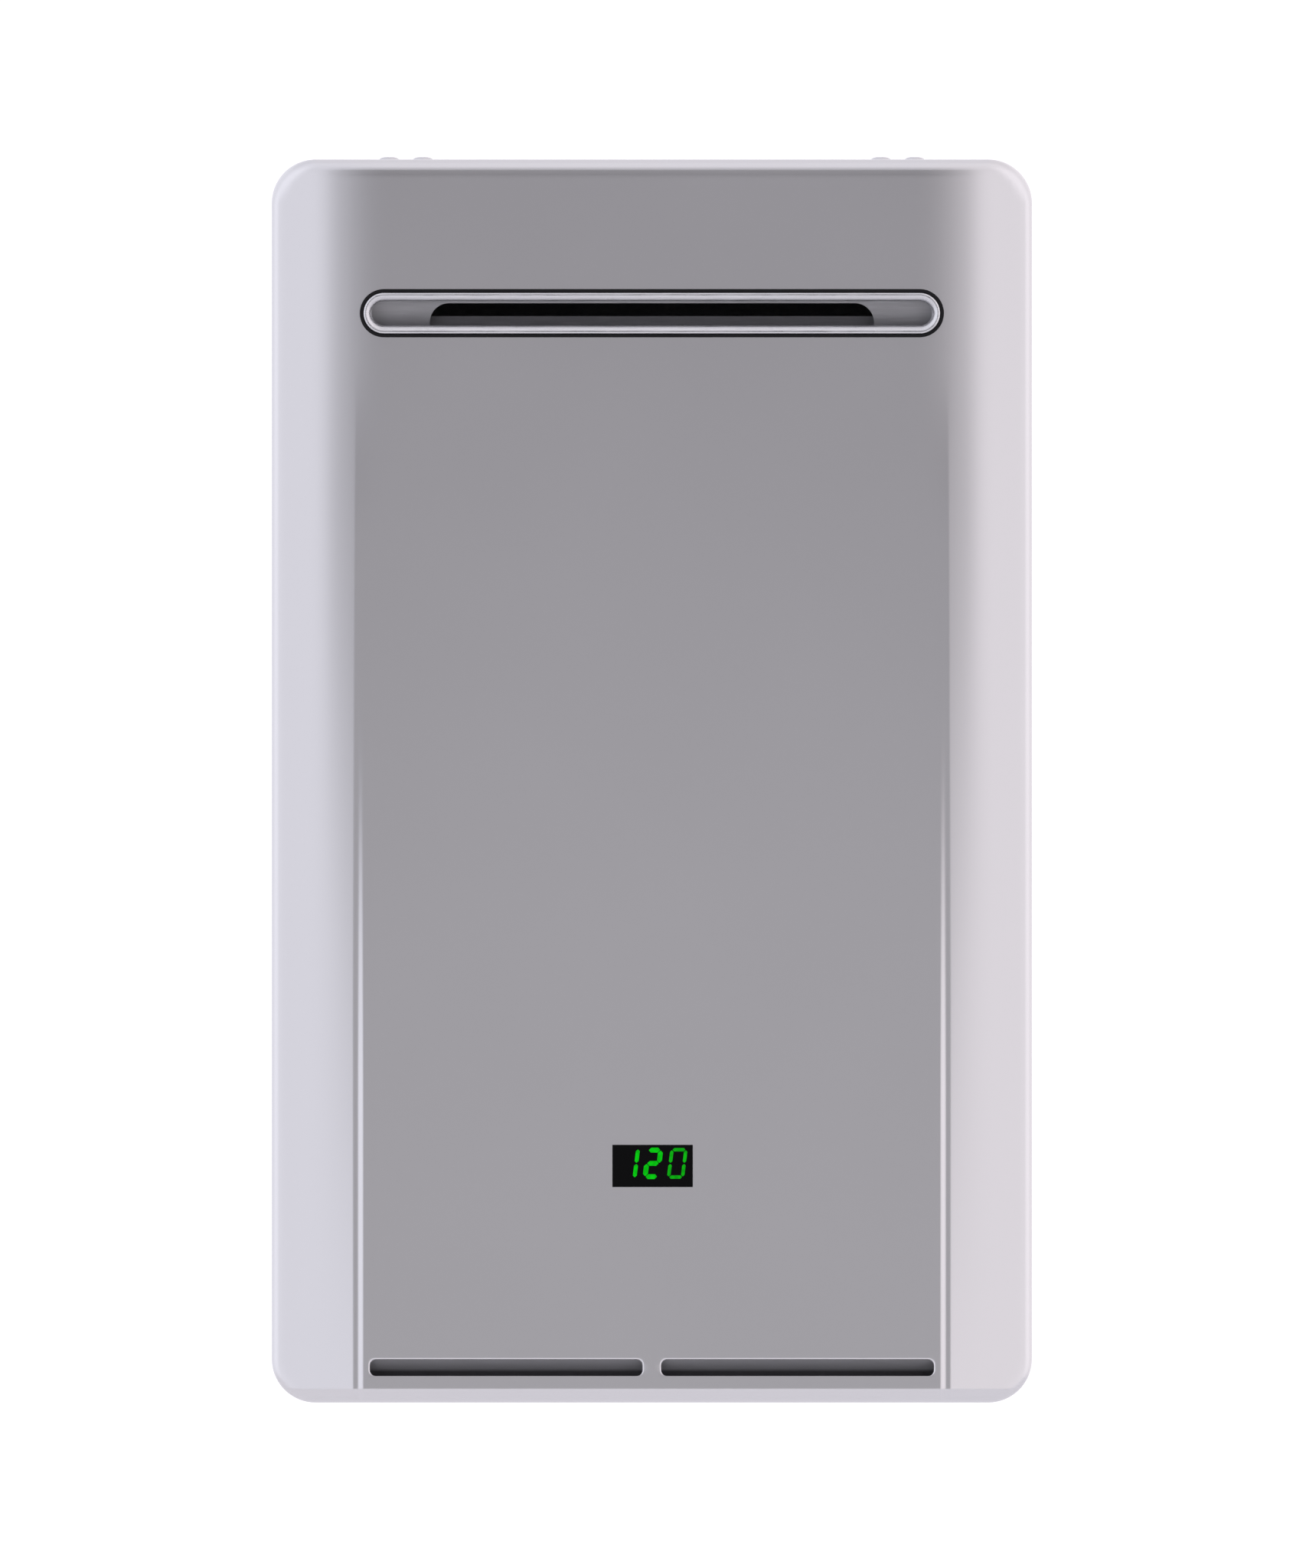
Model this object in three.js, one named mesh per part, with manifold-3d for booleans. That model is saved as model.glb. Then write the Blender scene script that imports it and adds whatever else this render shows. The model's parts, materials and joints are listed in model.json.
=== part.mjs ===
// A wall-hung outdoor tankless water heater, in millimetres.
// x runs to the right, z runs up and the front faces -y. The wall is the plane y = 0.
// A place is given by x, by its depth out from the wall, and by z up from the case's bottom edge.
import * as THREE from "three";
import * as BufferGeometryUtils from "three/addons/utils/BufferGeometryUtils.js";
import Module from "manifold-3d";

// The whole heater
const width = 356;
const height = 582;
const depth = 236;
const cornerRadius = 20.5;
const standOff = 9;
const caseSheet = 1;
const seat = 0.3;
const overrun = 3;
const weldShare = 0.001;
const roundEndShare = 0.4999;

// Front cover
const coverSheet = 1;
const coverFit = 0.4;
const coverDeep = 46;
const coverOverlap = 12;
const panelSetBack = 1;
const coverEdgeRadius = 3.5;
const marginFall = 10.5;
const marginFlat = 20;
const softEndTop = 54;
const softEndLow = 40.5;
const creaseInset = 39.2;
const creaseHalf = 1.3;
const ridgeOuter = 39.8;
const ridgeWidth = 3;
const ridgeHeight = 1.2;
const ridgeFullZ = 119;
const ridgeNoneZ = 298;
const creaseFullZ = 12;
const creaseNoneZ = 442;
const softLowZ = 388;
const softTopZ = 477;
const bandHeight = 6.3;
const bandFall = 5;
const bandBlend = 1.2;

// Exhaust slot
const flueFromTop = 72;
const slotSide = 41.25;
const slotHeight = 22.6;
const gasketWidth = 1.1;
const gasketFlange = 4;
const gasketFlangeThick = 2;
const terminalRim = 3.9;
const terminalRimDeep = 4;
const terminalWall = 1.2;
const recessDepth = 12;
const outletSide = 32.75;
const outletHeight = 12.4;
const outletTop = 4.7;
const outletCorner = 6;
const terminalDeep = 32;
const terminalPlateOver = 6;
const weirDrop = 1.4;
const weirBehind = 8;

// Display
const displayX = 0;
const displayZ = 111;
const displayWidth = 37.8;
const displayHeight = 19.9;
const lensThick = 2;
const lensLip = 3;
const moduleGap = 0.6;
const moduleDeep = 10;
const postSize = 3;

// Air slots
const airSlotEnd = 3.5;
const airSlotHeight = 7.3;
const airSlotZ = 16.5;
const airSlotWeb = 9.4;
const airSlotCorner = 2.8;
const baffleDeep = 14;
const baffleRise = 8;
const baffleFall = 12;
const baffleThick = 0.9;

// Cover screws
const coverScrewSide = 38;
const coverScrewSet = 6.5;
const screwShank = 4;
const screwHead = 8;
const screwHeadHigh = 2.2;
const screwLength = 9;
const nutSize = 7;
const nutHigh = 3;

// Top screws and hood hangers
const topScrewSide = 60.5;
const topScrewPitch = 15.8;
const topScrewDepth = 83;
const topScrewHead = 9.6;
const topScrewHeadHigh = 2.3;
const topScrewRimShare = 0.33;
const topScrewCrownShare = 0.8;
const topScrewShank = 5;
const topScrewLength = 8;
const hangerWidth = 32;
const hangerSheet = 1.2;
const hangerReach = 24;

// Wall brackets
const bracketSide = 28;
const bracketWeb = 34;
const bracketFoot = 12;
const bracketSheet = 1.6;
const upperBracketFromTop = 54;
const lowerBracketZ = 70;
const keyholeSide = 50;
const keyholeHead = 14;
const keyholeSlot = 7;
const keyholeDrop = 12;

// Base plate
const baseZ = 42;
const baseSheet = 1.2;
const baseFlange = 10;
const bayOpeningBack = 30;
const bayLip = 4;
const backFlange = 12;

// Combustion stack
const sideBay = 63.6;
const stackBack = 34;
const stackDeep = 116;
const stackSheet = 1.2;
const chamberBelowFlue = 30;
const burnerLevelShare = 0.411;
const burnerBoxHigh = 78;
const hoodRoom = 37;
const hoodShoulderDrop = 25;
const hoodSlope = 26;
const hoodFall = 30;
const hoodNeck = 36;
const neckHigh = 28;
const stackFootSide = 28;
const stackFootWidth = 14;
const stackFootHigh = 40;

// Fins and water tubes
const finCount = 9;
const finSideRoom = 13;
const finThick = 1.4;
const finHigh = 42;
const finDrop = 29;
const tubeCount = 4;
const tubeRadius = 8;
const tubeEndOut = 10;
const coilStartRise = 30;
const coilFit = 1.4;
const coilRiseShare = 0.281;
const coilFeedReach = 18;
const coilTurnBack = 58;
const coilRiserSide = 25.6;
const bendRadius = 12;
const tubeBore = 6.8;

// Burners and gas
const bladeCount = 7;
const bladeSideRoom = 7;
const bladeThick = 8;
const bladeRise = 16;
const bladeTopRoom = 10;
const bladeInset = 9;
const bladeSlot = 2.4;
const bladeSlotDeep = 8;
const railHigh = 4;
const railWide = 10;
const manifoldEndRoom = 6;
const manifoldSize = 16;
const manifoldGap = 14;
const manifoldRise = 22;
const manifoldBore = 5;
const nozzleRadius = 4;
const nozzleTip = 1.8;
const nozzleHole = 6;
const gasOut = 8;
const gasDepth = 110;
const gasPipeRadius = 7;
const gasPipeBore = 5.8;
const valveWidth = 56;
const valveDeep = 50;
const valveHigh = 106;
const solenoidRadius = 14;
const solenoidLength = 36;
const solenoidLowZ = 76;
const solenoidPitch = 42;
const plungerRadius = 4;
const plungerBoreGap = 0.4;
const poppetRadius = 9;
const poppetThick = 4;
const poppetChamber = 11;
const poppetChamberDeep = 14;
const poppetTravel = 3;

// Blower
const blowerX = 0;
const blowerZ = 128;
const blowerBack = 72;
const blowerDeep = 52;
const wheelRadius = 42;
const wheelWidth = 38;
const wheelGap = 4;
const vaneCount = 18;
const vaneThick = 1.2;
const vaneInner = 33;
const hubRadius = 9;
const hubLength = 12.7;
const wheelSheet = 1.5;
const scrollStart = 48;
const scrollGrow = 14;
const scrollSheet = 1.5;
const ductWide = 44;
const inletRadius = 31;
const inletLip = 5;
const motorRadius = 30;
const motorLength = 42;
const shaftRadius = 3;
const shaftGap = 0.4;

// Water fittings and valves
const unionRadius = 13;
const unionHex = 17;
const unionHexHigh = 10;
const unionLow = 14;
const unionBore = 9;
const coldDepth = 130;
const inletBlockZ = 76;
const inletBlockHalf = 18;
const filterAcross = 39.4;
const filterRadius = 9;
const filterKnob = 12;
const filterKnobHigh = 12;
const filterMeshRadius = 6;
const filterHigh = 26;
const sensorRadius = 16;
const sensorHigh = 36;
const sensorBore = 11;
const sensorWaist = 13;
const sensorStepShare = 0.167;
const rotorRadius = 9.5;
const rotorHigh = 12;
const rotorHub = 3;
const rotorPin = 1;
const rotorVanes = 6;
const rotorVane = 1.4;
const rotorVaneShare = 0.8;
const rotorTwistShare = 0.125;
const servoHigh = 44;
const servoHalf = 16;
const plugRadius = 10;
const plugGap = 0.4;
const plugLength = 24;
const plugPassage = 6.3;
const servoMotorRadius = 15;
const servoMotorHigh = 22;
const hotOut = 18.6;
const hotBehind = 64;
const hotBlockHalf = 13;
const hotBlockTop = 70;
const hotBlockReach = 45;
const drainAhead = 31;
const drainRadius = 6;
const drainKnob = 9;
const drainKnobHigh = 8;
const drainHigh = 16;
const hotShoulderRise = 32;
const hotFallShare = 0.65;

// Controls
const controlHalf = 66;
const controlLow = 74;
const controlHigh = 152;
const controlSheet = 1.2;
const controlFoot = 24.7;
const controlSet = 52;
const trayDeep = 26;
const trayWall = 2;
const trayInset = 4;
const boardThick = 1.6;
const boardStand = 5;
const boardRoom = 2;
const buttonX = -40;
const buttonZ = 112;
const buttonSize = 6;
const buttonHigh = 5;
const buttonTravel = 0.5;
const socketHigh = 4;
const socketWall = 2;
const chipHigh = 6;
const igniterWide = 30;
const igniterDeep = 46;
const igniterHigh = 52;
const igniterBack = 60;
const igniterZ = 200;
const electrodeSide = 52;
const electrodeRise = 16;
const electrodeRadius = 4;
const electrodeTip = 1.2;
const electrodeFlange = 9;
const electrodeInside = 22;
const electrodeOutside = 20;
const leadRadius = 3;
const glandAcross = 68;
const glandDepth = 100;
const glandRadius = 11;
const glandHex = 13;
const glandNutHigh = 4.3;
const glandBore = 6;

// Sizes worked out from the ones above
const panelDepth = depth - panelSetBack;
const coverBack = depth - coverDeep;
const panelHalf = width / 2 - ridgeOuter - ridgeWidth;
const flueZ = height - flueFromTop;
const slotLength = width - 2 * slotSide;
const outletLength = slotLength - 2 * outletSide;
const terminalBack = depth - terminalDeep;
const airSlotLength = panelHalf - airSlotWeb / 2 - airSlotEnd;
const coverScrewX = width / 2 - coverScrewSide;
const upperBracketZ = height - upperBracketFromTop;
const bracketLength = width - 2 * bracketSide;
const keyholeX = bracketLength / 2 - keyholeSide;
const caseInset = coverSheet + coverFit;
const caseFront = coverBack + coverOverlap;
const caseLow = caseInset;
const caseTop = height - caseInset;
const innerLow = caseLow + caseSheet;
const innerTop = caseTop - caseSheet;
const innerHalf = width / 2 - caseInset - caseSheet;
const backInner = standOff + caseSheet;
const marginSlope = marginFall / creaseInset;
const bandSlope = bandFall / bandHeight;
const baseTop = baseZ + baseSheet;
const screwDepth = coverBack + coverScrewSet;
const bayOpeningX = width / 2 - cornerRadius - seat;
const bayOpeningFront = coverBack - bayLip;
const topScrewX = innerHalf - topScrewSide;
const stackHalf = innerHalf - sideBay;
const stackFront = stackBack + stackDeep;
const chamberTopZ = flueZ - chamberBelowFlue;
const burnerFloorZ = baseZ + (chamberTopZ - baseZ) * burnerLevelShare;
const chamberFloorZ = burnerFloorZ + burnerBoxHigh;
const hoodTopZ = height - hoodRoom;
const hoodShoulderZ = hoodTopZ - hoodShoulderDrop;
const hoodSlopeDepth = stackBack + hoodSlope;
const hoodFallDepth = stackFront - hoodFall;
const hoodNeckDepth = terminalBack - hoodNeck;
const finPitch = (2 * (stackHalf - finSideRoom)) / finCount;
const finMidZ = chamberTopZ - finDrop;
const tubeEndX = stackHalf + tubeEndOut;
const coilStartZ = chamberFloorZ + coilStartRise;
const coilPitch = (finMidZ - coilStartZ) * coilRiseShare;
const coilTurnDepth = stackFront - coilTurnBack;
const coilRiserX = innerHalf - coilRiserSide;
const bladePitch = (2 * (stackHalf - bladeSideRoom)) / bladeCount;
const bladeLowZ = burnerFloorZ + bladeRise;
const bladeTopZ = chamberFloorZ - bladeTopRoom;
const manifoldHalf = stackHalf - manifoldEndRoom;
const manifoldZ = burnerFloorZ + manifoldRise;
const gasX = -(stackHalf + gasOut);
const coldX = stackHalf + coilFit + tubeRadius;
const coilStartDepth = coldDepth - coilFeedReach;
const filterX = coldX - filterAcross;
const hotX = coldX + hotOut;
const hotDepth = coldDepth - hotBehind;
const hotBlockFront = hotDepth + hotBlockReach;
const drainDepth = hotDepth + drainAhead;
const controlDepth = panelDepth - controlSet;
const electrodeX = stackHalf - electrodeSide;
const electrodeZ = chamberFloorZ + electrodeRise;
const glandX = gasX + glandAcross;

const wasm = await Module();
wasm.setup();
const heater = new THREE.Group();
heater.position.set(0, 0, -upperBracketZ);

// How finely the round forms are stepped
const smallRound = 8;
const hexSides = 6;
const middleRound = 10;
const largeRound = 18;
const cornerSteps = 2;
const slotSteps = 3;
const bendSteps = 3;
const vaneSteps = 2;
const nearly = 1e-6;

// Finishes
const finish = (color, roughness, metalness) => new THREE.MeshStandardMaterial({
  color,
  roughness,
  metalness,
});
const paint = finish(0xc9c8cf, 0.35, 0.2);
const casePaint = finish(0xc4c4cb, 0.45, 0.1);
const galvanised = finish(0xa9adb0, 0.45, 0.8);
const copper = finish(0xb06a42, 0.35, 0.9);
const brass = finish(0xb59a55, 0.35, 0.9);
const aluminium = finish(0xb9bcbe, 0.5, 0.8);
const stainless = finish(0xb4b3b6, 0.3, 0.9);
const steelBright = finish(0xc6c7ca, 0.25, 0.9);
const blackRubber = finish(0x101012, 0.8, 0);
const blackPlastic = finish(0x1b1c1f, 0.5, 0);
const greyPlastic = finish(0x6c6f73, 0.6, 0);
const boardGreen = finish(0x1d5a37, 0.5, 0);
const ceramic = finish(0xe8e4da, 0.4, 0);
const lensBlack = finish(0x0a0a0c, 0.08, 0);

// A mesh with merged corners and its faces out, ready for cutting and joining.
function solid(geometry) {
  const bare = geometry.clone();
  bare.deleteAttribute("normal");
  bare.deleteAttribute("uv");
  const merged = BufferGeometryUtils.mergeVertices(bare, seat * weldShare);
  const places = merged.attributes.position.array;
  const faces = [];
  let volume = 0;
  const corner = (i) => new THREE.Vector3().fromArray(places, i * 3);
  for (let i = 0; i < merged.index.count; i += 3) {
    const [a, b, c] = [0, 1, 2].map((k) => merged.index.getX(i + k));
    if (a === b || b === c || c === a) continue;
    faces.push([a, b, c]);
    volume += corner(a).dot(corner(b).cross(corner(c)));
  }
  if (volume < 0) faces.forEach((face) => face.reverse());
  const mesh = new wasm.Mesh({
    numProp: 3,
    vertProperties: new Float32Array(places),
    triVerts: new Uint32Array(faces.flat()),
  });
  return new wasm.Manifold(mesh);
}

const cut = (body, ...tools) => tools.reduce((left, tool) => left.subtract(tool), body);
const join = (body, ...others) => others.reduce((left, other) => left.add(other), body);

// Puts a body in the heater as a named piece.
function piece(name, body, material) {
  const mesh = body.getMesh();
  const geometry = new THREE.BufferGeometry();
  geometry.setAttribute("position", new THREE.BufferAttribute(new Float32Array(mesh.vertProperties), 3));
  geometry.setIndex(new THREE.BufferAttribute(new Uint32Array(mesh.triVerts), 1));
  const part = new THREE.Mesh(geometry, material);
  part.name = name;
  heater.add(part);
}

// A block between two values of x, of depth and of z.
function block(x0, x1, d0, d1, z0, z1) {
  const geometry = new THREE.BoxGeometry(x1 - x0, d1 - d0, z1 - z0);
  return solid(geometry.translate((x0 + x1) / 2, -(d0 + d1) / 2, (z0 + z1) / 2));
}

// A flat outline in x and z, running from one depth to another.
function forward(shape, d0, d1, curveSegments = cornerSteps) {
  const geometry = new THREE.ExtrudeGeometry(shape, { depth: d1 - d0, bevelEnabled: false, curveSegments });
  return solid(geometry.translate(0, 0, d0).rotateX(Math.PI / 2));
}

// An outline in depth and z, running from one x to another.
function across(points, x0, x1) {
  const shape = new THREE.Shape(points.map(([d, z]) => new THREE.Vector2(d, z)));
  const geometry = new THREE.ExtrudeGeometry(shape, { depth: x1 - x0, bevelEnabled: false });
  const turn = new THREE.Matrix4().set(0, 0, 1, x0, -1, 0, 0, 0, 0, 1, 0, 0, 0, 0, 0, 1);
  return solid(geometry.applyMatrix4(turn));
}

// A profile of [radius, distance] pairs turned about a line along x, depth or z.
const turns = {
  x: (g) => g.rotateZ(-Math.PI / 2),
  depth: (g) => g.rotateX(Math.PI),
  z: (g) => g.rotateX(Math.PI / 2),
};
function turned(line, at, profile, sides = middleRound) {
  const points = profile.map(([r, t]) => new THREE.Vector2(r, t));
  const geometry = turns[line](new THREE.LatheGeometry(points, sides));
  const [x, d, z] = at;
  return solid(geometry.translate(x, -d, z));
}
function rod(line, at, radius, from, to, sides = middleRound) {
  return turned(line, at, [[0, from], [radius, from], [radius, to], [0, to]], sides);
}
function ring(line, at, radius, bore, from, to, sides = middleRound) {
  return turned(line, at, [[bore, from], [radius, from], [radius, to], [bore, to], [bore, from]], sides);
}

// Outlines seen from the front
function roundedBox(halfX, z0, z1, radius) {
  const shape = new THREE.Shape();
  shape.moveTo(-halfX + radius, z0);
  shape.lineTo(halfX - radius, z0);
  shape.absarc(halfX - radius, z0 + radius, radius, -Math.PI / 2, 0);
  shape.absarc(halfX - radius, z1 - radius, radius, 0, Math.PI / 2);
  shape.absarc(-halfX + radius, z1 - radius, radius, Math.PI / 2, Math.PI);
  shape.absarc(-halfX + radius, z0 + radius, radius, Math.PI, 1.5 * Math.PI);
  return shape;
}
const caseOutline = (inset) => roundedBox(width / 2 - inset, inset, height - inset, cornerRadius - inset);
function stadium(length, high) {
  return roundedBox(length / 2, flueZ - high / 2, flueZ + high / 2, high * roundEndShare);
}

// A pipe run with rounded corners, stepped only where it bends.
class PipeRun extends THREE.Curve {
  constructor(corners, bend, steps) {
    super();
    const places = corners.map(([x, d, z]) => new THREE.Vector3(x, -d, z));
    this.places = [places[0]];
    for (let i = 1; i < places.length - 1; i += 1) {
      const back = places[i - 1].clone().sub(places[i]).normalize();
      const ahead = places[i + 1].clone().sub(places[i]).normalize();
      const half = back.angleTo(ahead) / 2;
      const reach = bend / Math.tan(half);
      const centre = back.clone().add(ahead).normalize().multiplyScalar(bend / Math.sin(half)).add(places[i]);
      const from = places[i].clone().addScaledVector(back, reach).sub(centre);
      const axis = from.clone().cross(
        places[i].clone().addScaledVector(ahead, reach).sub(centre),
      ).normalize();
      for (let k = 0; k <= steps; k += 1) {
        const swung = from.clone().applyAxisAngle(axis, ((Math.PI - 2 * half) * k) / steps);
        this.places.push(swung.add(centre));
      }
    }
    this.places.push(places[places.length - 1]);
    this.steps = this.places.length - 1;
  }
  getPoint(t) {
    const at = Math.min(Math.max(t, 0), 1) * this.steps;
    const i = Math.min(Math.floor(at + nearly), this.steps - 1);
    return this.places[i].clone().lerp(this.places[i + 1], at - i);
  }
  getPointAt(u) {
    return this.getPoint(u);
  }
  getTangentAt(u) {
    const i = Math.round(u * this.steps);
    const before = this.places[Math.max(i - 1, 0)];
    const here = this.places[i];
    const after = this.places[Math.min(i + 1, this.steps)];
    const arrive = here.clone().sub(before).normalize();
    return arrive.add(after.clone().sub(here).normalize()).normalize();
  }
}

function pipe(corners, radius, bore, bend, sides = smallRound, steps = bendSteps) {
  const run = new PipeRun(corners, bend, steps);
  const around = (r) => {
    const points = [];
    for (let i = 0; i < sides; i += 1) {
      const turn = ((i + 0.5) / sides) * 2 * Math.PI;
      points.push(new THREE.Vector2(r * Math.cos(turn), r * Math.sin(turn)));
    }
    return points;
  };
  const shape = new THREE.Shape(around(radius));
  if (bore > 0) shape.holes.push(new THREE.Path(around(bore)));
  return solid(new THREE.ExtrudeGeometry(shape, { steps: run.steps, bevelEnabled: false, extrudePath: run }));
}

// Front cover: a pressed shell whose side margins turn back from the flat panel. The turn is soft at the top
// and closes to a crisp crease beside a raised ridge at the bottom.
const clamp = (value) => Math.min(Math.max(value, 0), 1);
const smooth = (value) => clamp(value) ** 2 * (3 - 2 * clamp(value));
const ramp = (t, half) => (t <= -half ? 0 : t >= half ? t : (t + half) ** 2 / (4 * half));

function marginDrop(inset, z) {
  const crisp = clamp((creaseNoneZ - z) / (creaseNoneZ - creaseFullZ));
  const open = clamp((z - softLowZ) / (softTopZ - softLowZ));
  const softEnd = softEndLow + (softEndTop - softEndLow) * open;
  const soft = ramp((marginFlat + softEnd) / 2 - inset, (softEnd - marginFlat) / 2);
  return marginSlope * ((1 - crisp) * soft + crisp * ramp(creaseInset - inset, creaseHalf));
}
function ridgeDrop(inset, z) {
  const full = clamp((ridgeNoneZ - z) / (ridgeNoneZ - ridgeFullZ));
  return ridgeHeight * full * smooth((ridgeOuter + ridgeWidth - inset) / ridgeWidth);
}
function edgeDrop(gap, radius) {
  const left = radius - Math.min(Math.max(gap, 0), radius);
  return radius - Math.sqrt(Math.max(radius ** 2 - left ** 2, 0));
}

// The outline's half width at a height, and how far a place lies inside the outline.
function halfWidthAt(z, inset) {
  const radius = cornerRadius - inset;
  const past = Math.max(z - (height - cornerRadius), cornerRadius - z, 0);
  return width / 2 - cornerRadius + Math.sqrt(Math.max(radius ** 2 - past ** 2, 0));
}
function insideBy(x, z, inset) {
  const qx = Math.abs(x) - (width / 2 - cornerRadius);
  const qz = Math.max(z - (height - cornerRadius), cornerRadius - z);
  const outside = Math.hypot(Math.max(qx, 0), Math.max(qz, 0)) + Math.min(Math.max(qx, qz), 0);
  return cornerRadius - inset - outside;
}

// A block bounded by the cover's outer or inner surface, with columns across and rows up.
function coverBlock(inset, columns, arcSteps, midRows, back) {
  const radius = cornerRadius - inset;
  const arc = [];
  for (let i = arcSteps; i >= 0; i -= 1) arc.push(radius * (1 - Math.sin((i / arcSteps) * (Math.PI / 2))));
  const rows = [
    ...arc.map((t) => inset + t),
    ...midRows,
    ...arc.map((t) => height - inset - t).reverse(),
  ].sort((a, b) => a - b);
  const fold = softEndTop > marginFlat ? marginFlat + coverEdgeRadius : marginFlat;
  const places = [];
  const across = columns.length * 2;
  for (const z of rows) {
    const half = halfWidthAt(z, inset);
    const pinch = (half - (width / 2 - fold)) / (fold - inset);
    const xs = columns.map((c) => (c < fold ? half - Math.max(c - inset, 0) * pinch : width / 2 - c));
    for (const x of [...xs.map((v) => -v), ...xs.reverse()]) {
      const fromSide = width / 2 - Math.abs(x);
      const band = bandSlope * ramp(bandHeight - z, bandBlend);
      const drop = marginDrop(fromSide, z) + ridgeDrop(fromSide, z) + band;
      const out = panelDepth - inset - drop - edgeDrop(insideBy(x, z, inset), coverEdgeRadius - inset);
      places.push(x, -out, z);
    }
  }
  const faces = [];
  for (let r = 0; r < rows.length - 1; r += 1) {
    for (let c = 0; c < across - 1; c += 1) {
      const i = r * across + c;
      faces.push(i, i + 1, i + across + 1, i, i + across + 1, i + across);
    }
  }
  const backStart = places.length / 3;
  rows.forEach((z, r) => {
    const left = places[r * across * 3];
    places.push(left, -back, z, -left, -back, z);
    if (r === 0) return;
    const low = backStart + 2 * (r - 1);
    const frontLow = (r - 1) * across;
    const frontHigh = r * across;
    faces.push(low, low + 3, low + 1, low, low + 2, low + 3);
    faces.push(frontLow, frontHigh, low, low, frontHigh, low + 2);
    faces.push(frontLow + across - 1, low + 1, frontHigh + across - 1);
    faces.push(low + 1, low + 3, frontHigh + across - 1);
  });
  const ends = [
    [0, backStart, 1],
    [(rows.length - 1) * across, backStart + 2 * (rows.length - 1), -1],
  ];
  for (const [front, corner, way] of ends) {
    const fan = [];
    for (let c = 0; c < across - 1; c += 1) fan.push([corner, front + c + 1, front + c]);
    fan.push([corner, corner + 1, front + across - 1]);
    fan.forEach((face) => faces.push(...(way > 0 ? face : [...face].reverse())));
  }
  const geometry = new THREE.BufferGeometry();
  geometry.setAttribute("position", new THREE.BufferAttribute(new Float32Array(places), 3));
  geometry.setIndex(faces);
  return solid(geometry);
}

const softColumns = [marginFlat, (marginFlat + creaseInset) / 2];
const edgeColumnShares = [0, 0.12, 0.45, 1];
const creaseColumns = [creaseInset - creaseHalf, creaseInset + creaseHalf];
const panelColumns = [ridgeOuter + ridgeWidth, softEndTop];
const outerColumns = [
  ...edgeColumnShares.map((share) => share * coverEdgeRadius),
  marginFlat / 2,
  ...softColumns,
  ...creaseColumns,
  ...panelColumns,
];
const innerEdgeShares = [0, 0.4, 1];
const innerColumns = [
  ...innerEdgeShares.map((share) => coverSheet + share * (coverEdgeRadius - coverSheet)),
  marginFlat,
  creaseInset - creaseHalf,
  creaseInset + creaseHalf,
  ridgeOuter + ridgeWidth,
  softEndTop,
];
const outerRows = [
  bandHeight - bandBlend,
  bandHeight + bandBlend,
  ridgeFullZ,
  (ridgeFullZ + ridgeNoneZ) / 2,
  ridgeNoneZ,
  softLowZ,
  (softLowZ + softTopZ) / 2,
  softTopZ,
];
const innerRows = [bandHeight + bandBlend, ridgeFullZ, ridgeNoneZ, softLowZ, softTopZ];

function airSlot(side, inset, from, to) {
  const middle = side * (airSlotWeb + airSlotLength) / 2;
  const shape = roundedBox(
    airSlotLength / 2 + inset,
    airSlotZ - airSlotHeight / 2 - inset,
    airSlotZ + airSlotHeight / 2 + inset,
    airSlotCorner + inset,
  );
  return forward(shape, from, to, slotSteps).translate([middle, 0, 0]);
}
const displayOpening = (grow, from, to) =>
  block(
    displayX - displayWidth / 2 - grow,
    displayX + displayWidth / 2 + grow,
    from,
    to,
    displayZ - displayHeight / 2 - grow,
    displayZ + displayHeight / 2 + grow,
  );
const coverScrewSpots = [
  ["cover_screw_left", -coverScrewX],
  ["cover_screw_right", coverScrewX],
];

function frontCover() {
  const outer = coverBlock(0, outerColumns, 2 * cornerSteps, outerRows, coverBack);
  const inner = coverBlock(coverSheet, innerColumns, 2 * cornerSteps, innerRows, coverBack - overrun);
  const slot = forward(stadium(slotLength, slotHeight), coverBack, depth + overrun);
  const holes = coverScrewSpots.map(([, x]) => {
    const wide = screwHead / 2 + seat;
    const inside = wide - coverSheet + seat;
    const cone = [
      [0, -overrun],
      [wide, -overrun],
      [wide, 0],
      [inside, coverSheet + seat],
      [0, coverSheet + seat],
    ];
    return turned("z", [x, screwDepth, 0], cone, smallRound);
  });
  const slots = [-1, 1].map((side) => airSlot(side, 0, coverBack, depth + overrun));
  piece(
    "front_cover",
    cut(outer, inner, slot, displayOpening(seat, coverBack, depth + overrun), ...slots, ...holes),
    paint,
  );
}

function flueGasket() {
  const inner = slotLength - 2 * gasketWidth - 4 * seat;
  const innerHigh = slotHeight - 2 * gasketWidth - 4 * seat;
  const neck = stadium(slotLength - 2 * seat, slotHeight - 2 * seat);
  const flange = stadium(slotLength + 2 * gasketFlange, slotHeight + 2 * gasketFlange);
  const endDrop = marginDrop(width / 2 - slotLength / 2 - gasketFlange, flueZ);
  const flangeFront = panelDepth - coverSheet - endDrop - seat;
  const body = join(
    forward(neck, flangeFront - gasketFlangeThick / 2, panelDepth),
    forward(flange, flangeFront - gasketFlangeThick, flangeFront),
  );
  const way = forward(stadium(inner + 2 * seat, innerHigh + 2 * seat), coverBack, depth + overrun);
  piece("flue_gasket", cut(body, way), blackRubber);
}

function displayLens() {
  const back = panelDepth - coverSheet - seat;
  const lip = displayOpening(lensLip, back - lensThick, back);
  piece("display_lens", join(displayOpening(0, back - lensThick / 2, panelDepth), lip), lensBlack);
}

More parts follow.
